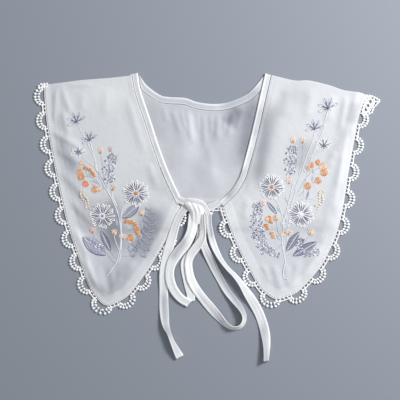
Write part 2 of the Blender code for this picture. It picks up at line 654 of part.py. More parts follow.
def build():
    clear_scene()
    back = Back()
    back_panel(back)
    back_binding()
    back_lace(back)
    front_panel("front_left", LEFT_SHOULDER, LEFT_HEM, LEFT_NECK, 1, LEFT_FOLDS, back)
    front_panel("front_right", RIGHT_SHOULDER, RIGHT_HEM, RIGHT_NECK, -1, RIGHT_FOLDS, back)
    front_binding("binding_left", LEFT_NECK, -1, back)
    front_binding("binding_right", RIGHT_NECK, 1, back)
    left_hem, right_hem = smooth_curve(LEFT_HEM, 1.0), smooth_curve(RIGHT_HEM, 1.0)
    lace("lace_left", left_hem, LEFT_SCALLOPS, -1, back.height)
    lace(
        "lace_right", right_hem, RIGHT_SCALLOPS, 1, back.height, RIGHT_START, RIGHT_END, RIGHT_CORNER
    )
    tie(["tie_start_left"], TIE_START_LEFT)
    tie(["tie_start_right"], TIE_START_RIGHT)
    tie(["tail_left"], TAIL_LEFT)
    tie(["tail_right"], TAIL_RIGHT)
    tie(["loop_left_out"], LOOP_LEFT_OUT)
    tie(["loop_left_back"], LOOP_LEFT_BACK)
    tie(["loop_right_out", "loop_right_back"], LOOP_RIGHT, LOOP_RIGHT_TURN)
    knot()


build()
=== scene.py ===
"""Detachable collar of sheer white cloth with scalloped lace, laid flat with its neck ties in a bow.

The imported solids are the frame, and every piece made here stands for one or more of them.
Tables hold millimetres: x to the right, y towards the shoulder folds, z up from the surface.
The embroidery is charted in cells of 1.2 mm, counted from the upper left of the whole layout.
"""

import logging
import math
from dataclasses import dataclass
from enum import Enum
from typing import Callable, Iterator, Sequence

import bmesh
import bpy
import numpy as np
from mathutils import Matrix, Vector


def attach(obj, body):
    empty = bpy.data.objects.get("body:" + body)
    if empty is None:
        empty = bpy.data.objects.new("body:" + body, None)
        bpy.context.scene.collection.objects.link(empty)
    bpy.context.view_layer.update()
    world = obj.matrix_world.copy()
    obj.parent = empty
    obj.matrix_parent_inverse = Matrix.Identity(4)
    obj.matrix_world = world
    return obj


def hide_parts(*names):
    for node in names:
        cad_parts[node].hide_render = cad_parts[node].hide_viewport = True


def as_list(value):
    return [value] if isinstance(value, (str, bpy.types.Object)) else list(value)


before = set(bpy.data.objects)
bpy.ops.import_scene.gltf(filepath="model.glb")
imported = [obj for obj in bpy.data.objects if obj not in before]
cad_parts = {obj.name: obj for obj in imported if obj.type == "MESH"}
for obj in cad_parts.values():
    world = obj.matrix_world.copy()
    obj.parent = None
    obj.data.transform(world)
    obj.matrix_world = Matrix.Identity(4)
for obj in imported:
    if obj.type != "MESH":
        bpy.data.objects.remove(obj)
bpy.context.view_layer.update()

log = logging.getLogger("collar")

Rows = Sequence[tuple[float, ...]]

MM = 0.001
TAU = 2 * math.pi
ORIGIN = np.array([0.45, 0.0])  # table point that lies at the model's origin

CHART_CELL = 1.2
CHART_CORNER = (-247.8, 260.4)  # table point of the chart's upper left corner

CLOTH = 1.2  # both layers of sheer cloth together
GAP = 0.3  # between a panel and what lies on it
OVER_BACK = CLOTH + GAP
BINDING_WIDTH = 7.2
BINDING_THICK = 2.0
BACK_BINDING_WIDTH = 8.0
FOLD_REACH = 2.0  # how far inside the shoulder folds the back's upper edge runs
FOLD_WALL = 1.4  # length of a binding, at the shoulder fold, that reaches down to the surface
FOLD_ROLL = 1.2  # radius of the rolled fold over the shoulder
SHELL = 0.75  # thickness of a panel's thin shell
SETTLE_FROM = 8.0  # distance beyond the back at which what lies on it starts to sink
SETTLE_TO = 18.0  # distance at which it lies on the surface
SEAM_BAND = 11.0  # width of the seam allowance that shows through along a hem
HEM_SEAM = 0.22  # how far that allowance lifts the cloth
NECK_SEAM = 0.12
RIM_DROP = 0.4  # how far a raw edge rounds down
EDGE_STEP = 5.5  # between the points of a long edge

SCALLOP_RISE = 1.4  # how far outside the hem a scallop has its middle
SCALLOP_RADIUS = 12.2
TIE_THICK = 1.2
LEFT_SCALLOPS = 15
RIGHT_SCALLOPS = 12
BACK_SCALLOPS = 7
BACK_PITCH = 33.6
BACK_NOTCH = 13.8  # x of the notch that shows between the right front and the tie
BACK_HEM = 11.4  # y of the back's hem

LEFT_SHOULDER = [
    (-192.6, 159.0), (-172.2, 161.4), (-149.4, 164.4), (-118.2, 166.8), (-91.8, 169.8), (-82.2, 172.8),
]
RIGHT_SHOULDER = [
    (191.4, 146.4), (184.2, 149.4), (163.8, 152.4), (148.2, 157.8), (123.0, 163.8), (106.2, 163.8),
    (82.2, 169.2), (70.2, 172.2),
]
LEFT_HEM = [
    (-192.6, 159.0), (-193.8, 146.4), (-189.6, 104.4), (-175.8, 32.4), (-165.0, -12.0), (-150.6, -55.2),
    (-142.2, -79.2), (-132.6, -94.8), (-119.4, -105.6), (-99.0, -97.2), (-87.0, -85.2), (-67.8, -58.8),
    (-46.2, -21.6), (-36.6, 1.2), (-31.8, 13.2),
]
RIGHT_HEM = [
    (191.4, 146.4), (185.4, 130.8), (180.0, 110.4), (169.2, 50.4), (163.8, 15.6), (156.6, -15.6),
    (147.0, -39.6), (135.0, -61.2), (111.0, -87.6), (96.6, -94.8), (83.4, -97.8), (71.4, -91.2),
    (61.8, -80.4), (43.8, -48.0), (30.6, -19.2), (19.8, 12.0),
]
LEFT_NECK = [
    (-82.2, 172.8), (-78.6, 151.2), (-66.6, 115.2), (-58.2, 88.8), (-48.6, 62.4), (-39.0, 40.2),
    (-29.4, 20.4),
]
RIGHT_NECK = [
    (70.2, 172.2), (64.2, 146.4), (57.0, 114.0), (49.8, 84.0), (41.4, 54.0), (36.6, 43.2), (29.4, 32.4),
    (15.0, 18.0),
]
BACK_NECK = [
    (-81.0, 171.6), (-77.4, 165.6), (-70.2, 156.6), (-55.8, 146.4), (-45.0, 144.0), (-25.8, 142.8),
    (-11.4, 138.0), (6.6, 135.6), (22.2, 136.8), (36.6, 141.6), (48.6, 147.6), (58.2, 156.6), (67.8, 168.0),
]
BACK_SIDES = [
    (-171.0, 159.4), (-166.0, 100.0), (-152.0, 30.0), (-143.0, 11.4), (136.0, 11.4), (144.0, 30.0),
    (158.0, 100.0), (170.0, 149.4),
]

# Turned ends of the lace at the shoulder folds, on the chart
LEFT_END = [(47.0, 83.8), (40.2, 84.4), (37.6, 87.4), (40.2, 88.4), (43.2, 87.0), (46.6, 87.4)]
RIGHT_END = [
    (366.6, 95.6), (370.5, 96.0), (375.0, 97.8), (380.0, 100.6), (376.6, 104.4), (373.6, 107.6),
    (371.8, 112.6), (366.4, 115.0), (362.4, 114.6), (363.0, 109.0), (364.6, 102.6),
]

# Soft creases on the chart: x and y of both ends, then height and half width in millimetres
LEFT_CREASES = [
    (86, 270, 118, 300, 2.2, 8), (56, 86, 55, 126, 1.5, 3.5), (62, 88, 72, 116, 1.2, 4.0),
    (50, 130, 84, 150, 2.0, 4.5), (54, 148, 82, 164, 1.5, 4.5), (58, 168, 92, 202, 1.6, 5.5),
    (66, 196, 100, 230, 1.9, 5.5), (74, 226, 92, 264, 1.8, 5.0), (82, 252, 102, 294, 2.2, 5.0),
    (97, 262, 107, 298, 1.8, 4.5), (124, 264, 111, 300, 1.6, 5.0), (142, 248, 122, 280, 1.5, 5.5),
    (66, 86, 94, 84, 0.9, 2.5), (126, 92, 146, 158, 1.2, 5.5), (148, 160, 158, 192, 1.1, 5.0),
    (108, 86, 104, 118, 0.8, 6), (84, 92, 82, 112, 0.7, 5), (136, 214, 160, 206, 1.0, 4),
    (62, 108, 70, 140, 1.0, 4.0), (110, 264, 114, 296, 1.4, 4.0), (150, 226, 134, 262, 1.1, 4.5),
]
RIGHT_CREASES = [
    (322, 244, 300, 282, 1.8, 7), (347, 92, 339, 138, 2.0, 4.5), (334, 94, 326, 124, 1.4, 5),
    (357, 99, 350, 142, 1.5, 4), (346, 148, 336, 192, 1.5, 5), (340, 196, 330, 238, 1.5, 5),
    (274, 84, 262, 138, 1.2, 6), (256, 150, 246, 196, 1.2, 5), (248, 196, 244, 222, 1.2, 5),
    (300, 258, 290, 292, 1.6, 5), (273, 262, 282, 294, 1.6, 5), (262, 262, 270, 286, 1.2, 4),
    (312, 86, 306, 122, 1.1, 6), (288, 84, 284, 120, 0.9, 6), (326, 168, 336, 150, 1.3, 5),
    (286, 262, 288, 290, 1.2, 4), (330, 214, 318, 244, 1.2, 4.5),
]
BACK_CREASES = [
    (172, 107, 181, 136, 1.2, 3.5), (187, 107, 193, 146, 1.7, 4), (203, 110, 205, 152, 1.2, 3.5),
    (218, 112, 217, 142, 1.5, 3.5), (234, 110, 227, 140, 1.3, 3.5), (180, 107, 186, 132, 0.8, 2.2),
    (197, 110, 199, 134, 0.8, 2.2), (211, 112, 211, 136, 0.9, 2.2), (226, 112, 223, 132, 0.9, 2.2),
    (243, 106, 236, 132, 0.8, 3.2), (162, 104, 168, 124, 0.8, 3.2), (196, 160, 224, 190, 1.0, 10),
    (170, 150, 190, 190, 0.9, 10), (208, 140, 214, 182, 0.8, 6),
]

# Soft tones on the chart, in the same form: above 0 they paint shade on the cloth, below 0 they paint a
# highlight
LEFT_TONES = [
    (54, 134, 80, 176, 0.60, 10), (70, 160, 92, 236, 0.36, 11), (160, 198, 136, 268, 0.84, 18),
    (132, 258, 112, 300, 0.50, 14), (56, 108, 66, 146, 0.24, 8), (96, 190, 108, 250, 0.36, 15),
    (82, 90, 136, 98, -0.40, 16), (66, 184, 86, 262, -0.42, 6), (112, 120, 140, 172, -0.12, 16),
    (100, 256, 112, 298, 0.30, 11), (150, 170, 168, 200, 0.24, 8), (104, 196, 128, 250, 0.14, 16),
    (112, 188, 117, 262, 0.54, 11), (110, 226, 117, 280, 0.20, 10), (48, 90, 60, 150, -0.28, 6),
    (60, 140, 90, 156, -0.26, 5), (60, 180, 74, 212, -0.24, 8), (110, 255, 130, 285, -0.10, 12),
]
RIGHT_TONES = [
    (330, 88, 350, 136, -0.08, 16), (280, 84, 316, 104, 0.22, 14), (306, 268, 282, 296, -0.30, 13),
    (274, 92, 252, 200, 0.74, 12), (352, 112, 324, 172, 0.30, 7), (336, 168, 322, 226, 0.16, 9),
    (256, 236, 268, 270, -0.16, 9), (348, 140, 334, 224, -0.14, 8), (300, 120, 284, 200, 0.08, 14),
    (306, 134, 300, 176, 0.46, 15), (303, 200, 300, 230, 0.30, 11), (358, 98, 350, 128, 0.66, 9),
    (290, 84, 276, 124, 0.16, 14), (306, 240, 322, 214, 0.18, 7),
]
BACK_TONES = [
    (256, 84, 242, 176, 0.58, 12), (240, 104, 226, 128, 0.62, 9), (146, 96, 162, 146, 0.16, 8),
    (190, 108, 193, 166, -0.56, 8), (208, 164, 232, 200, -0.20, 13), (172, 164, 186, 196, -0.15, 12),
    (214, 116, 212, 150, 0.10, 8), (200, 204, 226, 206, 0.40, 6), (178, 110, 180, 150, 0.10, 5),
    (202, 112, 203, 148, 0.06, 4),
]

# The same on bindings and ties: above 0 they take painted soft shade, below 0 a painted highlight makes them
# full white
FOLD_TONES = [
    (262, 312, 267, 378, 0.60, 6), (164, 284, 166, 344, 0.58, 6), (166, 322, 182, 362, 0.46, 6),
    (197, 236, 257, 334, 0.70, 7), (188, 248, 196, 300, -1.00, 7), (218, 322, 254, 330, -1.20, 6),
    (196, 292, 228, 324, 0.34, 5), (190, 232, 168, 264, 0.58, 6), (196, 220, 189, 248, -0.90, 4),
    (203, 204, 203, 244, -1.20, 4), (208, 206, 212, 244, 0.48, 4), (188, 200, 180, 230, 0.38, 6),
    (262, 98, 252, 146, 0.38, 6), (246, 160, 222, 206, 0.70, 7), (214, 110, 268, 86, 0.54, 9),
    (140, 92, 222, 112, 0.24, 14), (208, 238, 258, 308, 0.34, 5),
]

# Ties: x, y, lowest point, width, tilt in degrees
TAIL_LEFT = [
    (-24.0, 15.2, 3.1, 9.0, 6), (-27.4, 8.6, 3.1, 9.0, 15), (-32.5, 0.6, 3.1, 9.5, 15),
    (-36.8, -9.6, 3.0, 10.0, 10), (-41.4, -25.2, 1.6, 10.5, 0), (-45.6, -39.6, 1.5, 11.0, 0),
    (-49.2, -54.0, 1.5, 11.0, 0), (-51.0, -69.6, 1.5, 11.0, 0), (-51.2, -87.6, 0.3, 11.0, 0),
    (-51.2, -103.2, 0.0, 11.0, 0), (-50.4, -117.6, 0.0, 10.5, -8), (-48.6, -129.6, 0.0, 9.8, -30),
    (-44.8, -139.2, 0.0, 9.0, -56), (-40.6, -150.0, 0.0, 9.0, -56), (-36.0, -159.6, 0.0, 9.4, -35),
    (-31.8, -168.0, 0.0, 10.2, -15),
]
TAIL_RIGHT = [
    (2.6, 3.2, 4.6, 7.0, 15), (2.8, -6.0, 4.6, 7.0, 12), (4.6, -18.0, 4.4, 7.2, 5),
    (7.4, -30.0, 2.4, 7.6, -8), (12.2, -41.6, 1.0, 8.0, -28), (18.0, -51.8, 0.2, 8.2, -46),
    (25.2, -61.2, 0.0, 8.4, -56), (33.6, -69.8, 0.8, 8.8, -54), (41.6, -79.8, 1.5, 9.4, -40),
    (48.6, -90.6, 1.5, 10.5, -20), (55.8, -102.0, 1.5, 11.0, 0), (61.8, -112.8, 0.6, 11.5, 0),
    (66.6, -124.8, 0.0, 11.5, 0), (70.2, -138.0, 0.0, 11.0, -8), (72.0, -151.2, 0.0, 10.5, -25),
    (72.0, -162.0, 0.0, 10.5, -42), (71.4, -172.6, 0.0, 10.5, -52),
]
LOOP_LEFT_OUT = [
    (-15.6, 4.0, 4.6, 11.0, 0), (-16.4, -6.0, 4.6, 11.5, 0), (-18.2, -18.0, 4.4, 12.0, 0),
    (-24.6, -31.2, 4.0, 12.5, 0), (-33.0, -41.4, 3.4, 12.5, 0), (-39.2, -50.4, 3.1, 12.0, 0),
    (-43.2, -60.0, 3.1, 11.0, 0), (-44.0, -70.8, 3.1, 10.5, 0), (-41.6, -81.6, 2.8, 10.5, 0),
    (-36.4, -91.2, 2.0, 10.5, 0), (-29.4, -98.6, 1.6, 10.5, 0), (-20.8, -103.4, 1.5, 10.0, 0),
]
LOOP_LEFT_BACK = [
    (-19.0, -100.6, 0.0, 10.0, 0), (-18.8, -92.4, 0.0, 10.0, 0), (-21.6, -84.0, 0.0, 9.0, 0),
    (-24.6, -73.2, 0.0, 8.5, 0), (-26.6, -63.6, 0.0, 8.5, 0), (-26.4, -54.0, 0.0, 8.5, 0),
    (-18.6, -42.4, 0.6, 9.0, 0), (-11.4, -33.6, 1.2, 9.0, 0), (-7.8, -22.8, 1.5, 9.0, 0),
    (-6.8, -10.8, 1.5, 9.0, 0), (-8.2, 2.6, 1.5, 9.0, 0),
]
LOOP_RIGHT = [
    (-5.4, 3.4, 4.6, 9.0, 40), (-5.0, -6.0, 4.6, 9.0, 38), (-4.4, -18.0, 4.6, 9.0, 30),
    (-6.4, -27.6, 4.5, 9.5, 15), (-12.6, -36.8, 3.6, 10.0, 0), (-18.4, -44.8, 2.4, 10.0, 0),
    (-21.4, -54.0, 1.6, 9.5, 0), (-20.8, -64.8, 1.6, 9.5, 0), (-18.2, -75.6, 1.6, 10.0, 0),
    (-12.0, -87.0, 1.3, 10.5, 0), (-3.6, -98.4, 0.4, 10.8, 0), (5.4, -109.2, 0.0, 10.8, 5),
    (15.0, -120.0, 0.0, 10.5, 25), (23.4, -128.6, 0.0, 10.5, 50), (31.8, -133.0, 0.0, 10.5, 62),
    (39.6, -131.8, 0.0, 10.5, 62), (44.6, -126.0, 0.0, 10.5, 62), (45.4, -118.2, 0.0, 10.5, 58),
    (41.6, -109.8, 0.0, 10.2, 48), (34.0, -100.2, 0.0, 9.0, 25), (24.8, -88.8, 0.0, 8.6, 10),
    (17.0, -75.6, 0.0, 9.2, 0), (10.6, -63.6, 0.0, 9.4, 0), (5.0, -51.6, 0.4, 10.0, 0),
    (-0.4, -40.8, 1.8, 9.5, 0), (-3.8, -31.2, 3.0, 9.0, 0), (-4.8, -21.6, 3.0, 8.5, 0),
    (-3.8, -9.6, 3.0, 8.5, 0), (-3.0, 2.6, 3.0, 8.5, 0),
]
TIE_START_LEFT = [
    (-33.4, 21.2, 2.2, 8.2, 0), (-26.0, 18.2, 4.8, 8.4, 4), (-18.4, 17.8, 6.8, 9.0, 10),
    (-11.0, 17.0, 7.6, 9.0, 12), (-4.6, 14.2, 7.4, 8.4, 12), (-0.8, 9.4, 6.6, 7.4, 8),
    (1.8, 4.4, 5.8, 6.4, 4), (2.6, -0.6, 4.6, 5.6, 0),
]
TIE_START_RIGHT = [(17.0, 19.4, 1.8, 7.0, 0), (10.2, 14.4, 3.6, 7.6, 0), (2.4, 10.8, 5.4, 9.0, 0)]


def run_length(line: np.ndarray) -> np.ndarray:
    """Distance along a line to each of its points, seen from above."""
    sides = np.linalg.norm(np.diff(line[:, :2], axis=0), axis=1)
    return np.concatenate([[0], np.cumsum(sides)])


def read_at(wanted: float | np.ndarray, along: np.ndarray, values: np.ndarray) -> np.ndarray:
    """Every column of the values at each wanted distance."""
    return np.stack([np.interp(wanted, along, column) for column in values.T], axis=-1)


def spread(line: np.ndarray, count: int) -> np.ndarray:
    """That many points, the same distance apart along the line, with every column kept."""
    along = run_length(line)
    return read_at(np.linspace(0, along[-1], count), along, line)


def smooth_curve(rows: Rows, step: float) -> np.ndarray:
    """Points along the smooth curve through the rows.

    Args:
        rows: the points that the curve passes through, of two or more columns.
        step: distance between the points that come back.
    Returns:
        one row a point, with every column carried along.
    """
    held = np.array(rows, float)
    held = np.vstack([2 * held[0] - held[1], held, 2 * held[-1] - held[-2]])
    fine = []
    for a, b, c, d in zip(held, held[1:], held[2:], held[3:]):
        for t in np.linspace(0, 1, 12, endpoint=False):
            bend = 2 * b + (c - a) * t
            bend += (2 * a - 5 * b + 4 * c - d) * t**2 + (3 * b - a - 3 * c + d) * t**3
            fine.append(bend / 2)
    fine.append(held[-2])
    line = np.array(fine)
    return spread(line, max(2, round(run_length(line)[-1] / step) + 1))


def left_normals(line: np.ndarray) -> np.ndarray:
    """Unit vectors to the left of each point of a line, seen from above."""
    ways = np.gradient(line[:, :2], axis=0)
    ways /= np.linalg.norm(ways, axis=1)[:, None]
    return np.column_stack([-ways[:, 1], ways[:, 0]])


def heading(angle: float) -> np.ndarray:
    """The unit vector at an angle."""
    return np.array([math.cos(angle), math.sin(angle)])


def leftward(way: np.ndarray) -> np.ndarray:
    """The vector turned a quarter to its left."""
    return np.array([-way[1], way[0]])


def moved(line: np.ndarray, distance: float) -> np.ndarray:
    """The line moved sideways to its left by the distance."""
    return line[:, :2] + left_normals(line) * distance


def point_at(line: np.ndarray, distance: float) -> np.ndarray:
    """The point that lies that far along a line."""
    return read_at(distance, run_length(line), line[:, :2])


def inside(points: np.ndarray, loop: np.ndarray) -> np.ndarray:
    """True for each point within a closed loop."""
    found = np.zeros(len(points), bool)
    for (ax, ay), (bx, by) in zip(loop, np.roll(loop, -1, axis=0)):
        if ay == by:
            continue
        spans = (ay > points[:, 1]) != (by > points[:, 1])
        found ^= spans & (points[:, 0] < ax + (points[:, 1] - ay) * (bx - ax) / (by - ay))
    return found


def distance_to(points: np.ndarray, line: np.ndarray) -> np.ndarray:
    """Distance of each point from the nearest side of an open line."""
    best = np.full(len(points), np.inf)
    for start, end in zip(line[:-1, :2], line[1:, :2]):
        side = end - start
        share = np.clip((points - start) @ side / max(side @ side, 1e-9), 0, 1)
        best = np.minimum(best, np.linalg.norm(points - start - share[:, None] * side, axis=1))
    return best


def smoothstep(low: float, high: float, value: np.ndarray) -> np.ndarray:
    """0 below low and 1 above high, with a soft rise between."""
    share = np.clip((value - low) / (high - low), 0, 1)
    return share * share * (3 - 2 * share)


def soft_rows(points: np.ndarray, rows: Rows) -> np.ndarray:
    """What soft rows of the chart add up to: each is a ridge that fades to its ends and its sides."""
    total = np.zeros(len(points))
    for x1, y1, x2, y2, height, half in rows:
        start = seen(x1, y1)
        run = seen(x2, y2) - start
        length = np.linalg.norm(run)
        along = (points - start) @ run / length**2
        across = (points - start) @ leftward(run) / length
        ends = smoothstep(0, 0.3, along) * (1 - smoothstep(0.7, 1, along))
        total += height * ends * np.exp(-((across / half) ** 2))
    return total


def coons(top: np.ndarray, bottom: np.ndarray, left: np.ndarray, right: np.ndarray) -> np.ndarray:
    """Fills four sides with a grid.

    Args:
        top, bottom: lines of one count, from left to right.
        left, right: lines of one count, from top to bottom.
    Returns:
        an array of rows, columns and x, y.
    """
    v = np.linspace(0, 1, len(left))[:, None, None]
    u = np.linspace(0, 1, len(top))[None, :, None]
    between = (1 - v) * top[None] + v * bottom[None] + (1 - u) * left[:, None] + u * right[:, None]
    corners = (1 - u) * ((1 - v) * top[0] + v * bottom[0]) + u * ((1 - v) * top[-1] + v * bottom[-1])
    return between - corners


def area_of(loop: np.ndarray) -> float:
    """Area within a closed loop, in square metres for a loop in millimetres."""
    x, y = loop[:, 0], loop[:, 1]
    return abs(float(np.dot(x, np.roll(y, -1)) - np.dot(y, np.roll(x, -1)))) / 2 * MM * MM


def seen(x: float, y: float) -> np.ndarray:
    """Millimetres of a place on the embroidery chart."""
    return np.array([CHART_CORNER[0] + CHART_CELL * x, CHART_CORNER[1] - CHART_CELL * y])


class Value:
    """A shader value that is written as an ordinary Python expression."""

    def __init__(self, bench: "Bench", socket: bpy.types.NodeSocket) -> None:
        """Wraps one output socket of a bench's tree."""
        self.bench = bench
        self.socket = socket

    def maths(self, operation: str, first: "Value | float", second: "Value | float" = 0.0) -> "Value":
        """One Math node.

        Args:
            operation: the node's operation.
            first, second: its inputs, as values or numbers.
        Returns:
            the node's value.
        """
        return self.bench.node("ShaderNodeMath", {"operation": operation}, {0: first, 1: second})

    def __add__(self, other: "Value | float") -> "Value":
        """self + other, in either order."""
        return self.maths("ADD", self, other)

    def __sub__(self, other: "Value | float") -> "Value":
        """self - other."""
        return self.maths("SUBTRACT", self, other)

    def __rsub__(self, other: float) -> "Value":
        """other - self."""
        return self.maths("SUBTRACT", other, self)

    def __mul__(self, other: "Value | float") -> "Value":
        """self * other, in either order."""
        return self.maths("MULTIPLY", self, other)

    __radd__ = __add__
    __rmul__ = __mul__

    def sine(self) -> "Value":
        """The sine of the value."""
        return self.maths("SINE", self)

    def size(self) -> "Value":
        """The value without its sign."""
        return self.maths("ABSOLUTE", self)

    def rise(self, low: float, high: float) -> "Value":
        """0 below low and 1 above high, with a soft rise between; low may be the greater."""
        return self.bench.node(
            "ShaderNodeMapRange",
            {"interpolation_type": "SMOOTHSTEP"},
            {"Value": self, "From Min": low, "From Max": high, "To Min": 0.0, "To Max": 1.0},
        )


class Bench:
    """The node tree of one material, and the few ways in which finishes add nodes to it."""

    def __init__(self, name: str) -> None:
        """Makes the material with its plain shader."""
        self.material = bpy.data.materials.new(name)
        self.material.use_nodes = True
        self.tree = self.material.node_tree
        self.shader = self.tree.nodes["Principled BSDF"]

    def node(self, kind: str, settings: dict, sockets: dict, out: int | str = 0) -> Value:
        """Adds one node.

        Args:
            kind: the node's type.
            settings: its own properties, set before anything else.
            sockets: its inputs by name or number, as values, numbers or colours.
            out: the output that comes back.
        Returns:
            that output as a value.
        """
        made = self.tree.nodes.new(kind)
        for key, setting in settings.items():
            setattr(made, key, setting)
        for key, value in sockets.items():
            if isinstance(value, Value):
                self.tree.links.new(value.socket, made.inputs[key])
            else:
                made.inputs[key].default_value = value
        return Value(self, made.outputs[out])

    def feed(self, socket: str, value: "Value | float | tuple") -> None:
        """Links a value to the shader, or sets a constant on the shader's own socket."""
        if isinstance(value, Value):
            self.tree.links.new(value.socket, self.shader.inputs[socket])
        else:
            self.shader.inputs[socket].default_value = value

    def place(self) -> Value:
        """Object coordinates, in metres."""
        return self.node("ShaderNodeTexCoord", {}, {}, "Object")

    def noise(self, scale: float, detail: float = 2.0, stretch: tuple = (1.0, 1.0, 1.0)) -> Value:
        """Soft noise from 0 to 1.

        Args:
            scale: how many blots fit in a metre.
            detail: how rough it is.
            stretch: how much closer the blots lie along each axis.
        Returns:
            the noise as a value.
        """
        place = self.node("ShaderNodeVectorMath", {"operation": "MULTIPLY"}, {0: self.place(), 1: stretch})
        return self.node("ShaderNodeTexNoise", {}, {"Vector": place, "Scale": scale, "Detail": detail})

    def mark(self, name: str) -> Value:
        """A number that the mesh carries at each point."""
        return self.node("ShaderNodeAttribute", {"attribute_name": name}, {}, "Fac")

    def woven(self, pitch: float) -> tuple[Value, Value]:
        """Warp and weft waves that follow the cloth.

        Args:
            pitch: distance between threads, in metres.
        Returns:
            the two waves, each from -1 to 1.
        """
        uv = self.node("ShaderNodeUVMap", {"uv_map": "cloth"}, {})
        across = self.node("ShaderNodeSeparateXYZ", {}, {0: uv}, "X")
        along = self.node("ShaderNodeSeparateXYZ", {}, {0: uv}, "Y")
        return (across * (TAU / pitch)).sine(), (along * (TAU / pitch)).sine()

    def blend(self, first: "Value | tuple", second: "Value | tuple", share: "Value | float") -> Value:
        """A colour between two colours."""
        return self.node("ShaderNodeMix", {"data_type": "RGBA"}, {0: share, 6: first, 7: second}, 2)

    def bump(self, height: Value, distance: float, strength: float) -> None:
        """Feeds the shader's normal from a height.

        Args:
            height: the height as a value.
            distance: metres that a height of 1 stands for.
            strength: how much of it shows.
        """
        sockets = {"Height": height, "Distance": distance, "Strength": strength}
        self.feed("Normal", self.node("ShaderNodeBump", {}, sockets))


def ink(red: int, green: int, blue: int) -> tuple[float, float, float, float]:
    """A colour that is given as it shows on a screen, from 0 to 255 a channel."""
    channels = (red / 255, green / 255, blue / 255)
    linear = [c / 12.92 if c <= 0.04045 else ((c + 0.055) / 1.055) ** 2.4 for c in channels]
    return (*linear, 1.0)


@dataclass(frozen=True)
class Finish:
    """What every finish shares: a name, and one material that is made on first use."""

    name: str

    def material(self) -> bpy.types.Material:
        """The finish's material."""
        made = bpy.data.materials.get(self.name)
        if made is None:
            bench = Bench(self.name)
            self.shade(bench)
            made = bench.material
        return made

    def shade(self, bench: Bench) -> None:
        """Fills the material's tree."""
        raise NotImplementedError

    def dress(self, piece: bpy.types.Object) -> None:
        """Gives the piece this finish."""
        piece.data.materials.clear()
        piece.data.materials.append(self.material())


@dataclass(frozen=True)
class SheerCloth(Finish):
    """Two layers of fine plain-woven voile, which show what lies under them, with painted shade and painted
    highlight from their tone mark.
    """

    alone: tuple = ink(213, 215, 221)
    doubled: tuple = ink(220, 222, 225)
    band: tuple = ink(236, 237, 238)
    painted_shade: tuple = ink(130, 133, 144)
    painted_highlight: tuple = ink(242, 243, 245)
    stitched: tuple = ink(180, 182, 190)
    see_through: float = 0.07
    pitch: float = 0.00042

    def shade(self, bench: Bench) -> None:
        """Colour by layers, painted shade and highlight from the tones, seam bands and stitch lines; weave
        and light crumpling.
        """
        warp, weft = bench.woven(self.pitch)
        slubs = bench.noise(900.0, 1.0, (1.0, 0.12, 1.0))
        cloudy = bench.noise(34.0, 3.0)
        tone = bench.mark("tone") + (cloudy - 0.5) * 0.22
        seam = bench.mark("hem").rise(SEAM_BAND + 2.4, SEAM_BAND - 2.4)
        colour = bench.blend(self.alone, self.doubled, bench.mark("layers"))
        # Painted shade where the tone mark is above 0, painted highlight where it is below 0
        colour = bench.blend(colour, self.painted_shade, tone.rise(-0.1, 1.2))
        colour = bench.blend(colour, self.painted_highlight, (0.0 - tone).rise(0.0, 1.0))
        colour = bench.blend(colour, self.band, seam * (0.18 + cloudy * 0.30))
        neck = bench.mark("neck")
        lines = self.line(neck, 2.8) + self.line(neck, 6.0) * 0.6
        colour = bench.blend(colour, self.stitched, lines * (cloudy * 0.7))
        bench.feed("Base Color", colour)
        open_weave = (warp * weft).rise(0.2, 1.0) * self.see_through
        bench.feed("Alpha", 1.0 - (self.see_through + open_weave) * (1.0 - seam * 0.8))
        bench.feed("Roughness", 0.72 + slubs * 0.15)
        crumple = bench.noise(110.0, 2.0)
        height = warp * weft * 0.06 + slubs * 0.12 + crumple * 1.5 + seam * 0.2 - lines * 0.4
        bench.bump(height, 0.0006, 0.55)
        bench.feed("Sheen Weight", 0.25)

    def line(self, distance: Value, middle: float) -> Value:
        """1 on a line of stitching that far from an edge, 0 beside it."""
        return (distance - middle).size().rise(0.9, 0.1)


@dataclass(frozen=True)
class FoldedCloth(Finish):
    """Close cotton folded into bindings and ties, whitest along its full edges."""

    colour: tuple = ink(252, 252, 252)
    middle: tuple = ink(208, 210, 214)
    shaded: tuple = ink(150, 154, 163)
    pitch: float = 0.00038

    def shade(self, bench: Bench) -> None:
        """Fine weave and lengthwise crumples, with the flat middle a little greyer."""
        warp, weft = bench.woven(self.pitch)
        crumple = bench.noise(240.0, 2.0)
        blot = bench.noise(60.0, 2.0)
        flat = (1.0 - bench.mark("edge").rise(0.35, 0.85)) * (0.55 + blot * 0.6)
        tone = bench.mark("tone")
        colour = bench.blend(self.colour, self.middle, flat)
        # Painted shade where the tone mark is above 0, painted highlight in full white where it is below 0
        colour = bench.blend(colour, self.shaded, tone.rise(0.0, 1.0))
        colour = bench.blend(colour, self.colour, (0.0 - tone).rise(0.0, 1.0))
        bench.feed("Base Color", colour)
        bench.feed("Roughness", 0.68 + crumple * 0.2)
        bench.bump(warp * weft * 0.08 + crumple * 0.9, 0.0005, 0.5)
        bench.feed("Sheen Weight", 0.2)


@dataclass(frozen=True)
class SpunThread(Finish):
    """Twisted thread of one dye lot, for lace, stitching and embroidery."""

    colour: tuple = ink(246, 246, 247)
    depth: tuple = ink(222, 223, 228)
    gloss: float = 0.45

    def shade(self, bench: Bench) -> None:
        """Fine plies across the thread, and a little fading from place to place."""
        blot = bench.noise(420.0, 2.0)
        plies = bench.noise(2600.0, 1.0)
        bench.feed("Base Color", bench.blend(self.colour, self.depth, blot.rise(0.35, 0.7) * 0.7))
        bench.feed("Roughness", self.gloss + plies * 0.2)
        bench.bump(plies, 0.0002, 0.6)


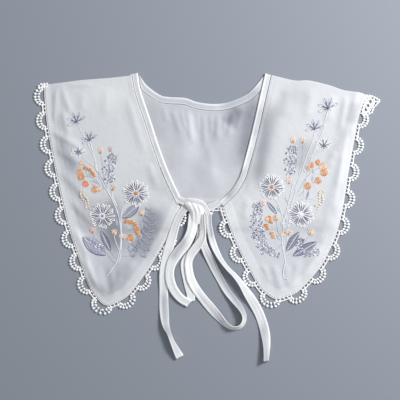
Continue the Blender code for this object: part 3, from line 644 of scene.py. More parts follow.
@dataclass(frozen=True)
class StudioSweep(Finish):
    """Plain pale blue-grey board under the collar."""

    near: tuple = ink(143, 149, 159)
    far: tuple = ink(146, 152, 162)

    def shade(self, bench: Bench) -> None:
        """One matt tone, with painted light that pales it softly towards the window side."""
        place = bench.place()
        x = bench.node("ShaderNodeSeparateXYZ", {}, {0: place}, "X")
        y = bench.node("ShaderNodeSeparateXYZ", {}, {0: place}, "Y")
        # Painted light: paler to the right and a little towards the top
        painted_light_sweep = (x * 1.1 + y * 0.25 + 0.5).rise(-0.15, 1.15)
        bench.feed("Base Color", bench.blend(self.near, self.far, painted_light_sweep))
        bench.feed("Roughness", 0.9)
        bench.feed("Specular IOR Level", 0.2)


class Thread(Enum):
    """The embroidery threads."""

    WHITE = SpunThread("thread_white", ink(252, 252, 252), ink(236, 237, 240))
    PALE = SpunThread("thread_pale_lavender", ink(202, 203, 219), ink(184, 185, 206))
    LAVENDER = SpunThread("thread_lavender", ink(166, 167, 192), ink(148, 149, 177))
    HAZE = SpunThread("thread_haze", ink(180, 182, 199), ink(160, 162, 184))
    DUSK = SpunThread("thread_dusk", ink(122, 123, 146), ink(103, 104, 130))
    MIST = SpunThread("thread_mist", ink(190, 206, 218), ink(174, 192, 208))
    ORANGE = SpunThread("thread_orange", ink(220, 154, 108), ink(206, 138, 92))
    APRICOT = SpunThread("thread_apricot", ink(231, 190, 156), ink(224, 174, 140))
    SALMON = SpunThread("thread_salmon", ink(240, 152, 132), ink(230, 134, 116))
    SALMON_PALE = SpunThread("thread_pale_salmon", ink(230, 200, 206), ink(216, 184, 198))
    PEACH = SpunThread("thread_peach", ink(244, 222, 208), ink(236, 208, 192))
    STRAW = SpunThread("thread_straw", ink(228, 222, 202), ink(214, 206, 184))
    CLAY = SpunThread("thread_clay", ink(196, 150, 128), ink(178, 132, 112))


SHEER = SheerCloth("sheer_voile")
BINDING = FoldedCloth("binding_lawn")
# A darker copy of the binding cloth, which paints the shade that the back binding lies in
SHADED_BACK_BINDING = FoldedCloth("back_binding_lawn_shaded", ink(232, 234, 238), ink(203, 205, 211))
TIE = FoldedCloth("tie_lawn", ink(255, 255, 255), ink(224, 226, 229))
TIE_SHADED = FoldedCloth("tie_lawn_shaded", ink(222, 224, 227), ink(198, 200, 205))
LACE = SpunThread("guipure_thread", ink(255, 255, 255), ink(246, 246, 248), 0.6)


def to_world(spots: np.ndarray) -> np.ndarray:
    """Table millimetres, in the last axis, to metres in the row frame."""
    held = np.array(spots, float)
    held[..., :2] -= ORIGIN
    return held * MM


def lay_grid(
    work: bmesh.types.BMesh, spots: np.ndarray, marks: dict[str, np.ndarray] | None = None,
    cloth: np.ndarray | None = None,
) -> list[bmesh.types.BMVert]:
    """Adds a grid and moves each of its points to a place.

    Args:
        work: the mesh that takes the grid.
        spots: rows, columns and x, y, z in table millimetres.
        marks: numbers to store at each point, by name; the layers exist already.
        cloth: rows, columns and the two cloth coordinates in metres, for the UV map.
    Returns:
        the new points.
    """
    rows, columns = spots.shape[0] - 1, spots.shape[1] - 1
    placed = to_world(spots)
    made = bmesh.ops.create_grid(work, x_segments=columns, y_segments=rows, size=1.0)["verts"]
    where = {}
    for vert in made:
        row, column = round((vert.co.y + 1) / 2 * rows), round((vert.co.x + 1) / 2 * columns)
        where[vert] = (row, column)
        vert.co = placed[row, column]
        for name, values in (marks or {}).items():
            vert[work.verts.layers.float[name]] = float(values[row, column])
    if cloth is not None:
        layer = work.loops.layers.uv["cloth"]
        for face in {face for vert in made for face in vert.link_faces}:
            for loop in face.loops:
                loop[layer].uv = cloth[where[loop.vert]]
    return made


def marked_mesh(marks: Sequence[str] = ("edge", "tone")) -> bmesh.types.BMesh:
    """An empty mesh whose points carry the named marks, with a UV map that follows the cloth."""
    work = bmesh.new()
    for name in marks:
        work.verts.layers.float.new(name)
    work.loops.layers.uv.new("cloth")
    return work


def add_bead(
    work: bmesh.types.BMesh, centre: Sequence[float], radius: float, height: float, rings: int
) -> None:
    """Adds a flattened ball.

    Args:
        work: the mesh that takes it.
        centre: x, y, z in table millimetres.
        radius, height: half its width and half its height.
        rings: how many bands of faces it has from top to bottom.
    """
    place = Matrix.Translation(Vector(to_world(np.array(centre))))
    size = Matrix.Diagonal((radius * MM, radius * MM, height * MM, 1.0))
    bmesh.ops.create_uvsphere(work, u_segments=8, v_segments=rings, radius=1.0, matrix=place @ size)


def add_tube(
    work: bmesh.types.BMesh, rings: np.ndarray, cloth: np.ndarray | None = None,
    edge: np.ndarray | None = None,
) -> None:
    """Adds a closed tube with closed ends.

    Args:
        work: the mesh that takes the tube.
        rings: rings, points round each ring, and x, y, z in table millimetres.
        cloth: the two cloth coordinates of each ring point, in metres, with the first point
            given again at the end.
        edge: how near each point of a ring is to the ribbon's edge, from 0 to 1.
    """
    ends = [np.repeat(ring.mean(axis=0)[None], len(ring), axis=0)[None] for ring in (rings[0], rings[-1])]
    held = np.concatenate([ends[0], rings, ends[1]])
    held = np.concatenate([held, held[:, :1]], axis=1)
    marks = None
    if edge is not None:
        tones = soft_rows(held[..., :2].reshape(-1, 2), FOLD_TONES).reshape(held.shape[:2])
        marks = {"edge": np.tile(np.append(edge, edge[0]), (len(held), 1)), "tone": tones}
    if cloth is not None:
        cloth = np.concatenate([cloth[:1], cloth, cloth[-1:]])
    made = lay_grid(work, held, marks, cloth)
    bmesh.ops.remove_doubles(work, verts=made, dist=1e-8)


def finished(
    name: str, work: bmesh.types.BMesh, finish: Finish, slot: str, nodes: Sequence[str] = (),
    closed: bool = True,
) -> bpy.types.Object:
    """Turns a working mesh into a piece that rides on the collar.

    Args:
        name: the piece's name.
        work: its mesh, which is freed.
        finish: what it is dressed in.
        slot: not used.
        nodes: the solids that it stands for.
        closed: True for a closed shell, False for an open sheet that faces up.
    Returns:
        the piece.
    """
    work.normal_update()
    if closed:
        bmesh.ops.recalc_face_normals(work, faces=work.faces)
    elif sum(face.normal.z * face.calc_area() for face in work.faces) < 0:
        bmesh.ops.reverse_faces(work, faces=work.faces)
    for face in work.faces:
        face.smooth = True
    mesh = bpy.data.meshes.new(name)
    work.to_mesh(mesh)
    work.free()
    piece = bpy.data.objects.new(name, mesh)
    bpy.context.scene.collection.objects.link(piece)
    finish.dress(piece)
    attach(piece, "root")
    if nodes:
        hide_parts(*nodes)
    log.info("%s: %d faces", name, len(mesh.polygons))
    return piece


def sheer_panel(
    name: str, node: str, spots: np.ndarray, values: dict[str, np.ndarray]
) -> bpy.types.Object:
    """Makes a sheer panel: an open sheet with its thickness below the upper face.

    Args:
        name: the piece's name.
        node: the solid that it stands for.
        spots: rows, columns and x, y, z in table millimetres.
        values: the marks by name, one number a point.
    Returns:
        the panel as one piece.
    """
    marks = {mark: held.reshape(spots.shape[:2]) for mark, held in values.items()}
    work = marked_mesh(list(marks))
    lay_grid(work, spots, marks, spots[:, :, :2] * MM)
    piece = finished(name, work, SHEER, "sheer_cloth", [node], closed=False)
    made = piece.modifiers.new("thickness", "SOLIDIFY")
    made.thickness = SHELL * MM
    made.offset = -1.0
    made.use_even_offset = False
    return piece


class Heap:
    """A mesh of many small parts, which takes them in by the batch so that operators stay quick."""

    BATCH = 1200

    def __init__(self) -> None:
        """Starts with nothing."""
        self.whole = bmesh.new()
        self.batch = bmesh.new()

    def open(self) -> bmesh.types.BMesh:
        """The mesh that takes the next part."""
        if len(self.batch.faces) > self.BATCH:
            self.gather()
        return self.batch

    def gather(self) -> None:
        """Moves the parts made so far into the whole."""
        held = bpy.data.meshes.new("batch")
        self.batch.normal_update()
        bmesh.ops.recalc_face_normals(self.batch, faces=self.batch.faces)
        self.batch.to_mesh(held)
        self.whole.from_mesh(held)
        bpy.data.meshes.remove(held)
        self.batch.clear()

    def close(self) -> bmesh.types.BMesh:
        """The whole mesh."""
        self.gather()
        self.batch.free()
        return self.whole


def ring_section(width: float, height: float, sides: int) -> np.ndarray:
    """Across and up of a flattened round thread, once round."""
    angles = np.linspace(0, TAU, sides, endpoint=False)
    return np.column_stack([np.cos(angles) * width / 2, np.sin(angles) * height / 2])


def thread_rings(line: np.ndarray, section: np.ndarray, swell: np.ndarray | None = None) -> np.ndarray:
    """Rings of a thread along a line.

    Args:
        line: x, y, z of its middle.
        section: across and up of each ring point.
        swell: how thick it is at each point of the line, where 1 is the section itself.
    Returns:
        rings for add_tube.
    """
    normals = left_normals(line)
    rings = np.zeros((len(line), len(section), 3))
    size = np.ones(len(line)) if swell is None else swell
    rings[:, :, :2] = line[:, None, :2] + normals[:, None] * (section[None, :, :1] * size[:, None, None])
    rings[:, :, 2] = line[:, None, 2] + section[None, :, 1] * size[:, None]
    return rings


def corded(line: np.ndarray, pitch: float, least: float) -> np.ndarray:
    """Thickness of a thread along its line: 1 at swellings that far apart, least between them."""
    if not pitch:
        return np.ones(len(line))
    return least + (1 - least) * np.abs(np.sin(run_length(line) * math.pi / pitch))


class Relief:
    """Heights of a surface on an even raster, for laying threads on it."""

    STEP = 1.5

    def __init__(self, low: np.ndarray, high: np.ndarray, height: Callable[[np.ndarray], np.ndarray]) -> None:
        """Samples the height function at every step between two corners."""
        self.low = low
        xs = np.arange(low[0], high[0] + self.STEP, self.STEP)
        ys = np.arange(low[1], high[1] + self.STEP, self.STEP)
        grid = np.stack(np.meshgrid(xs, ys), axis=-1).reshape(-1, 2)
        self.heights = height(grid).reshape(len(ys), len(xs))

    def at(self, x: float, y: float) -> float:
        """Height at one place."""
        column = min(max((x - self.low[0]) / self.STEP, 0), self.heights.shape[1] - 1.001)
        row = min(max((y - self.low[1]) / self.STEP, 0), self.heights.shape[0] - 1.001)
        i, j = int(row), int(column)
        s, t = row - i, column - j
        near = self.heights[i, j] * (1 - t) + self.heights[i, j + 1] * t
        far = self.heights[i + 1, j] * (1 - t) + self.heights[i + 1, j + 1] * t
        return float(near * (1 - s) + far * s)


@dataclass
class BackPanel:
    """The back of the collar, under both fronts, with soft gathers below the neck binding."""

    columns: int = 170
    rows: int = 84
    painted_back_shade: float = 0.27  # painted shade over the whole back, which lies below the fronts

    def __post_init__(self) -> None:
        """Works out the outline, and the region over which the fronts ride up."""
        neck = smooth_curve(BACK_NECK, EDGE_STEP)
        self.neck_edge = moved(neck, -(BACK_BINDING_WIDTH + GAP))
        left = moved(smooth_curve(LEFT_SHOULDER, EDGE_STEP), -FOLD_REACH)
        right = moved(smooth_curve(RIGHT_SHOULDER, EDGE_STEP), FOLD_REACH)
        sides = np.array(BACK_SIDES)
        left = left[(left[:, 0] > sides[0, 0] + 1.5) & (left[:, 0] < self.neck_edge[0, 0] - 1.5)]
        right = right[(right[:, 0] > self.neck_edge[-1, 0] + 1.5) & (right[:, 0] < sides[-1, 0] - 1.5)]
        self.left_side, self.right_side = sides[:4], sides[4:]
        self.hem = sides[3:5]
        self.upper = np.vstack([sides[:1], left, self.neck_edge, right[::-1], sides[-1:]])
        low = self.hem - np.array([0.0, SCALLOP_RISE + SCALLOP_RADIUS])
        self.zone = np.vstack([self.left_side, low, self.right_side, self.upper[::-1]])
        self.outline = np.vstack([self.left_side, self.right_side, self.upper[::-1]])

    def away(self, points: np.ndarray) -> np.ndarray:
        """How far each point lies outside the back and its lace."""
        closed = np.vstack([self.zone, self.zone[:1]])
        return np.where(inside(points, self.zone), 0.0, distance_to(points, closed))

    def bed(self, points: np.ndarray) -> np.ndarray:
        """Underside of a piece that lies over the back, settling to the surface beyond it."""
        return OVER_BACK * (1 - smoothstep(SETTLE_FROM, SETTLE_TO, self.away(points)))

    def build(self) -> bpy.types.Object:
        """Makes the panel.

        Returns:
            the panel as one piece.
        """
        top = self.upper
        by_x = np.interp(np.linspace(top[0, 0], top[-1, 0], self.columns + 1), top[:, 0], run_length(top))
        even = np.linspace(0, run_length(top)[-1], self.columns + 1)
        wanted = 0.5 * by_x + 0.5 * even
        upper = read_at(wanted, run_length(top), top)
        flat = coons(
            upper, spread(self.hem, self.columns + 1),
            spread(self.left_side, self.rows + 1), spread(self.right_side[::-1], self.rows + 1),
        )
        points = flat.reshape(-1, 2)
        hem = distance_to(points, np.vstack([self.left_side, self.right_side]))
        rim = np.minimum(hem, distance_to(points, self.upper))
        height = CLOTH + soft_rows(points, BACK_CREASES) - RIM_DROP * (1 - smoothstep(0, 1.5, rim))
        spots = np.column_stack([points, height]).reshape(*flat.shape[:2], 3)
        values = {
            "hem": hem, "layers": 0 * hem, "tone": soft_rows(points, BACK_TONES) + self.painted_back_shade,
            "neck": distance_to(points, self.neck_edge),
        }
        return sheer_panel("back_cloth", "back_panel", spots, values)


@dataclass
class FrontPanel:
    """One pointed front, folded over the shoulder and lying on the back."""

    name: str
    node: str
    side: int
    shoulder: Rows
    hem_rows: Rows
    neck_rows: Rows
    crease_rows: Rows
    tone_rows: Rows
    back: BackPanel
    columns: int = 92
    rows: int = 176

    ROLL = (0, 30, 60)  # degrees round the rolled fold, from its upright wall towards the crown
    FOOT = 0.05  # height of the wall's lower edge

    def __post_init__(self) -> None:
        """Works out the panel's four sides."""
        neck = smooth_curve(self.neck_rows, 2.0)
        self.neck_edge = moved(neck, -self.side * (BINDING_WIDTH + GAP))
        self.hem = smooth_curve(self.hem_rows, 2.0)
        fold = smooth_curve(self.shoulder, 2.0)
        kept = (fold[:, 0] - self.neck_edge[0, 0]) * self.side < -1.0
        self.fold = np.vstack([fold[kept], self.neck_edge[:1]])
        self.tip = int(np.argmin(self.hem[:, 1]))
        self.outline = np.vstack([self.fold, self.neck_edge, self.hem[::-1]])
        low, high = self.outline.min(axis=0) - 2, self.outline.max(axis=0) + 2
        self.relief = Relief(low, high, self.top)

    def top(self, points: np.ndarray) -> np.ndarray:
        """Height of the upper face at each point."""
        hem = distance_to(points, self.hem)
        neck = distance_to(points, self.neck_edge)
        rim = np.minimum(hem, neck)
        seam = HEM_SEAM * (1 - smoothstep(SEAM_BAND - 1.2, SEAM_BAND + 0.6, hem))
        seam += NECK_SEAM * (1 - smoothstep(2.4, 4.0, neck))
        rounding = RIM_DROP * (1 - smoothstep(0, 1.4, rim))
        return self.back.bed(points) + CLOTH + soft_rows(points, self.crease_rows) + seam - rounding

    def inner_line(self, step: float) -> np.ndarray:
        """A line that runs that far inside the shoulder fold, from the hem to the neck edge."""
        inner = moved(self.fold[:-1], -self.side * step)[2:-1]
        return np.vstack([point_at(self.hem, step), inner, point_at(self.neck_edge, step)])

    def build(self) -> bpy.types.Object:
        """Makes the panel with its rolled fold.

        Returns:
            the panel as one piece.
        """
        count = self.columns + 1
        first = point_at(self.hem, FOLD_ROLL)
        upper = (run_length(self.hem) > FOLD_ROLL) & (np.arange(len(self.hem)) <= self.tip)
        outer = np.vstack([first, self.hem[upper]])
        lower = np.vstack([self.hem[self.tip :], self.neck_edge[-1:]])
        neck = np.vstack([
            point_at(self.neck_edge, FOLD_ROLL),
            self.neck_edge[run_length(self.neck_edge) > FOLD_ROLL],
        ])
        flat = coons(
            spread(self.inner_line(FOLD_ROLL), count), spread(lower, count),
            spread(outer, self.rows + 1), spread(neck, self.rows + 1),
        )
        points = flat.reshape(-1, 2)
        spots = np.column_stack([points, self.top(points)]).reshape(*flat.shape[:2], 3)
        rolled = []
        crown = spots[0, :, 2]
        roll = np.minimum(FOLD_ROLL, crown - 0.3)
        for angle in self.ROLL:
            turn = math.radians(angle)
            line = spread(self.inner_line(FOLD_ROLL * (1 - math.cos(turn)) + 0.02), count)
            rolled.append(np.column_stack([line, crown - roll * (1 - math.sin(turn))]))
        wall = rolled[0].copy()
        wall[:, 2] = self.FOOT
        spots = np.concatenate([np.stack([wall, *rolled]), spots])
        points = spots[:, :, :2].reshape(-1, 2)
        values = {
            "hem": distance_to(points, self.hem), "layers": 1 - smoothstep(0.0, 5.0, self.back.away(points)),
            "tone": soft_rows(points, self.tone_rows), "neck": distance_to(points, self.neck_edge),
        }
        return sheer_panel(self.name, self.node, spots, values)


@dataclass
class NeckBinding:
    """A folded strip over a raw neck edge: round and full at the free edge, flat at its seam."""

    name: str
    node: str
    neck_rows: Rows
    side: int
    width: float
    bed: Callable[[np.ndarray], np.ndarray]
    lift: float
    reach: Callable[[np.ndarray, np.ndarray], float] | None = None
    wall: bool = False
    finish: Finish = BINDING

    # Share of the width, share of the height and fullness, from the free edge over the crown to the seam
    PROFILE = (
        (0.0, 0.40, 1.0), (0.02, 0.70, 1.0), (0.09, 0.94, 1.0), (0.18, 1.0, 1.0), (0.28, 0.94, 0.8),
        (0.38, 0.80, 0.2), (0.52, 0.74, 0.0), (0.66, 0.74, 0.1), (0.72, 0.66, 0.0), (0.77, 0.58, 0.0),
        (0.82, 0.70, 0.4), (0.90, 0.76, 0.7), (0.96, 0.70, 0.5), (1.0, 0.5, 0.2), (1.0, 0.0, 0.0),
        (0.5, 0.0, 0.0), (0.03, 0.06, 0.4),
    )

    def build(self) -> bpy.types.Object:
        """Makes the binding.

        Returns:
            the binding as one piece.
        """
        neck = smooth_curve(self.neck_rows, 1.6)
        along = run_length(neck)
        normals = left_normals(neck) * self.side
        profile = np.array(self.PROFILE)
        rings, cloth = [], []
        for s, place, normal in zip(along, neck, normals):
            across = normal * self.width * (self.reach(place, normal) if self.reach else 1.0)
            low = float(self.bed((place + across / 2)[None])[0])
            if self.wall and s < FOLD_WALL:
                low = 0.0
            # The crown has a long and a short wave, as in a strip that was turned by hand
            high = self.lift + BINDING_THICK
            high -= 0.10 + 0.10 * math.sin(s / 5.3) + 0.06 * math.sin(s / 1.9 + 1.0)
            if self.wall:
                high -= 1 - smoothstep(0, 1.6, np.array(s))
            spots = place + across * profile[:, :1]
            rings.append(np.column_stack([spots, low + (high - low) * profile[:, 1]]))
            round_it = np.concatenate([np.cumsum(np.full(len(profile), self.width / 7)), [2 * self.width]])
            cloth.append(np.column_stack([round_it, np.full(len(round_it), s)]) * MM)
        work = marked_mesh()
        add_tube(work, np.array(rings), np.array(cloth), profile[:, 2])
        return finished(self.name, work, self.finish, "binding_cloth", [self.node])


class Needle:
    """Lays thread on a surface, in one mesh for each thread."""

    # Heights as a share of the width
    STITCH_HEIGHT = 0.72
    KNOT_HEIGHT = 0.7
    NECKED = 0.72  # thickness of a row of back stitches where one stitch meets the next

    def __init__(self, height: Callable[[float, float], float]) -> None:
        """Takes the height of the cloth at a place."""
        self.height = height
        self.work: dict[Thread, Heap] = {}

    def mesh(self, thread: Thread) -> bmesh.types.BMesh:
        """The working mesh of one thread."""
        return self.work.setdefault(thread, Heap()).open()

    def stitch(
        self, thread: Thread, start: np.ndarray, end: np.ndarray, width: float, lift: float = 0.1
    ) -> None:
        """One straight stitch, full in the middle and sunk at its ends.

        Args:
            thread: what it is sewn with.
            start, end: where it goes into the cloth, in table millimetres.
            width: how wide it is.
            lift: height of its middle above the cloth.
        """
        a = Vector(to_world(np.array([*start, self.height(*start)])))
        b = Vector(to_world(np.array([*end, self.height(*end)])))
        run = b - a
        if run.length < 1e-5:
            return
        along = run.normalized()
        across = Vector((0, 0, 1)).cross(along).normalized()
        up = along.cross(across)
        turn = Matrix((across, up, along)).transposed().to_4x4()
        half = width * MM / 2
        size = Matrix.Diagonal((half, half * self.STITCH_HEIGHT, run.length / 2, 1.0))
        place = Matrix.Translation((a + b) / 2 + Vector((0, 0, lift * MM)))
        work = self.mesh(thread)
        bmesh.ops.create_uvsphere(work, u_segments=6, v_segments=5, radius=1.0, matrix=place @ turn @ size)

    def dot(self, thread: Thread, centre: np.ndarray, radius: float, lift: float = 0.2) -> None:
        """One wound knot.

        Args:
            thread: what it is wound from.
            centre: its place in table millimetres.
            radius: half its width.
            lift: height of its middle above the cloth.
        """
        top = self.height(*centre) + lift
        add_bead(self.mesh(thread), [*centre, top], radius, radius * self.KNOT_HEIGHT, 5)

    def cord(
        self, thread: Thread, line: np.ndarray, width: float, pitch: float = 2.4, lift: float = 0.15,
        sides: int = 6, full: float = 0.8,
    ) -> None:
        """A row of back stitches along a line.

        Args:
            thread: what it is sewn with.
            line: its points in table millimetres.
            width: how wide the row is.
            pitch: length of one stitch, or 0 for a smooth thread.
            lift: height of its middle above the cloth.
            sides: points round the thread.
            full: its height as a share of its width.
        """
        laid = np.array([(x, y, self.height(x, y) + lift) for x, y in line[:, :2]])
        swell = corded(laid, pitch, self.NECKED)
        swell[[0, -1]] *= 0.5
        rings = thread_rings(laid, ring_section(width, width * full, sides), swell)
        add_tube(self.mesh(thread), rings)

    def row(self, thread: Thread, line: np.ndarray, width: float, pitch: float, gap: float) -> None:
        """Separate stitches along a line.

        Args:
            thread: what they are sewn with.
            line: its points in table millimetres.
            width: how wide a stitch is.
            pitch: distance from stitch to stitch.
            gap: how far apart two stitches end and begin.
        """
        length = run_length(line)[-1]
        for s in np.arange(0.5, length - pitch, pitch):
            self.stitch(thread, point_at(line, s), point_at(line, s + pitch - gap), width, lift=0.05)

    def overcast(self, thread: Thread, line: np.ndarray, side: int, pitch: float, reach: float) -> None:
        """Short slanted stitches over an edge, on its inner side.

        Args:
            thread: what they are sewn with.
            line: the edge in table millimetres.
            side: 1 where the cloth lies to the left of the line, -1 to its right.
            pitch: distance from stitch to stitch.
            reach: how far in from the edge they go.
        """
        near, far = moved(line, side * 0.5), moved(line, side * reach)
        share = run_length(far)[-1] / run_length(near)[-1]
        for number, s in enumerate(np.arange(2.0, run_length(near)[-1] - 3.0, pitch)):
            lean = 0.9 if number % 2 else -0.9
            self.stitch(thread, point_at(near, s), point_at(far, s * share + lean), width=0.7, lift=0.05)

    def pieces(self, prefix: str, slot: str) -> list[bpy.types.Object]:
        """Turns each thread's mesh into a piece.

        Args:
            prefix: how the pieces' names begin.
            slot: handed on to each piece as it is finished.
        Returns:
            the pieces.
        """
        return [
            finished(f"{prefix}_{thread.name.lower()}", heap.close(), thread.value, slot)
            for thread, heap in self.work.items()
        ]


@dataclass
class LaceEdging:
    """Scalloped thread lace along a hem: two rows of beads round a half-moon hole, then a ladder."""

    name: str
    node: str
    edge: np.ndarray
    count: int
    side: int
    bed: Callable[[np.ndarray], np.ndarray]
    start: float = 0.0
    end: float = 0.0
    corner: Rows = ()
    outer_beads: int = 9
    inner_beads: int = 7
    outer_radius: float = 10.7
    inner_along: float = 7.9
    inner_out: float = 6.2
    bead: float = 1.68
    span: float = math.radians(172)

    BEAD_LIFT = 0.95  # middle of a bead above the bed
    THREAD_LIFT = 0.85
    THREAD_HEIGHT = 0.9
    HEADER = 0.3  # how far the header thread runs outside the hem
    BAR = 3.7  # how far the ladder's bar runs outside the hem
    POSTS = 4.6  # from post to post
    CORDING = 2.4  # from swelling to swelling of a corded thread
    HOLE_HALF = 6.0  # half the width of a scallop's hole at the hem
    NET_LIFT = 0.7  # middle of the threads in a turned end above the bed

    def __post_init__(self) -> None:
        """Measures the edge."""
        self.along = run_length(self.edge)
        self.normals = left_normals(self.edge) * self.side
        self.pitch = (self.along[-1] - self.start - self.end) / self.count

    def spot(self, s: float, out: float) -> np.ndarray:
        """The place that lies s along the edge and out beyond it."""
        place = point_at(self.edge, s)
        normal = read_at(s, self.along, self.normals)
        return place + normal / np.linalg.norm(normal) * out

    def thread(self, pairs: Rows, width: float, knots: float = 0.0) -> None:
        """One thread of the lace.

        Args:
            pairs: its points as distances along and out.
            width: how wide it is.
            knots: distance between the swellings of a corded thread, or 0.
        """
        line = np.array([self.spot(s, out) for s, out in pairs])
        laid = np.column_stack([line, self.bed(line) + self.THREAD_LIFT])
        section = ring_section(width, self.THREAD_HEIGHT, 6)
        add_tube(self.heap.open(), thread_rings(laid, section, corded(laid, knots, 0.8)))

    def bead_on(self, spot: np.ndarray, radius: float, height: float = 0.92) -> None:
        """One wound bead of the lace, half as wide and high as given."""
        middle = float(self.bed(np.array(spot)[None])[0]) + self.BEAD_LIFT
        add_bead(self.heap.open(), [*spot, middle], radius, height, 6)

    def fan(self, count: int) -> list[tuple[float, float]]:
        """Along and out of each of so many beads round a scallop, for a radius of 1."""
        first = (math.pi + self.span) / 2
        angles = [first - (index + 0.5) * self.span / count for index in range(count)]
        return [(math.cos(angle), math.sin(angle)) for angle in angles]

    def scallop(self, middle: float) -> None:
        """One scallop: beads round the rim, a ring of smaller beads round the hole, bars between."""
        reach = SCALLOP_RISE + self.outer_radius
        ahead, behind = self.spot(middle + 4.0, reach), self.spot(middle - 4.0, reach)
        spread_out = np.linalg.norm(ahead - behind) / 8.0
        outer_beads = self.outer_beads + round(4 * max(0.0, spread_out - 1.15))
        for x, y in self.fan(outer_beads):
            rim = (middle + self.outer_radius * x, SCALLOP_RISE + self.outer_radius * y)
            ring = (middle + self.inner_along * x, SCALLOP_RISE + self.inner_out * y)
            self.bead_on(self.spot(*rim), self.bead)
            self.thread([ring, rim], 0.8)
        for x, y in self.fan(self.inner_beads):
            ring = self.spot(middle + self.inner_along * x, SCALLOP_RISE + self.inner_out * y)
            self.bead_on(ring, self.bead * 0.88)

    def ladder(self, middle: float, half: float) -> None:
        """The bar between two scallops, held off the header by posts."""
        margin = self.HEADER
        low, high = max(margin, middle - half), min(self.along[-1] - margin, middle + half)
        if high - low < 2:
            return
        self.thread([(s, self.BAR) for s in np.linspace(low, high, 9)], 1.7, self.CORDING)
        for post in np.arange(-2, 2.1) * self.POSTS + middle:
            if low <= post <= high:
                self.thread([(post, 0.2), (post, self.BAR)], 1.3)

    def build(self) -> bpy.types.Object:
        """Makes the whole edging.

        Returns:
            the lace as one piece.
        """
        self.heap = Heap()
        length = self.along[-1]
        header = [(s, self.HEADER) for s in np.linspace(0.2, length - 0.2, round(length / 1.2))]
        self.thread(header, 0.8, self.CORDING)
        for index in range(self.count):
            self.scallop(self.start + (index + 0.5) * self.pitch)
        half = self.pitch / 2 - self.HOLE_HALF
        for index in range(self.count + 1):
            self.ladder(self.start + index * self.pitch, half)
        if self.corner:
            self.turned_end()
        return finished(self.name, self.heap.close(), LACE, "lace_thread", [self.node])

    def turned_end(self) -> None:
        """The end of the lace at the shoulder fold: beads packed within its outline, with pits left."""
        outline = np.array([seen(x, y) for x, y in self.corner])
        low, high = outline.min(axis=0), outline.max(axis=0)
        spots = []
        for row, y in enumerate(np.arange(low[1] + 1.0, high[1], 2.5)):
            for column, x in enumerate(np.arange(low[0] + 0.8 + (row % 2) * 1.4, high[0], 2.8)):
                if (column + 2 * row) % 5:
                    spots.append((x, y))
        rim = spread(np.vstack([outline, outline[:1]]), max(6, round(run_length(outline)[-1] / 2.7)))[:-1]
        held = np.array(spots)
        held = held[inside(held, outline) & (distance_to(held, np.vstack([outline, outline[:1]])) > 1.7)]
        for spot in [*rim, *held]:
            self.bead_on(spot, 1.42, 0.9)
        self.net_thread(np.vstack([rim, rim[:1]]), 1.3)
        for x, y in held:
            near = held[np.linalg.norm(held - (x, y), axis=1) < 3.4]
            for other in near[near[:, 0] > x]:
                self.net_thread(np.array([(x, y), other]), 1.0)

    def net_thread(self, line: np.ndarray, width: float) -> None:
        """One thread between the beads of a turned end."""
        laid = np.column_stack([line, self.bed(line) + self.NET_LIFT])
        add_tube(self.heap.open(), thread_rings(laid, ring_section(width, 0.8, 6)))


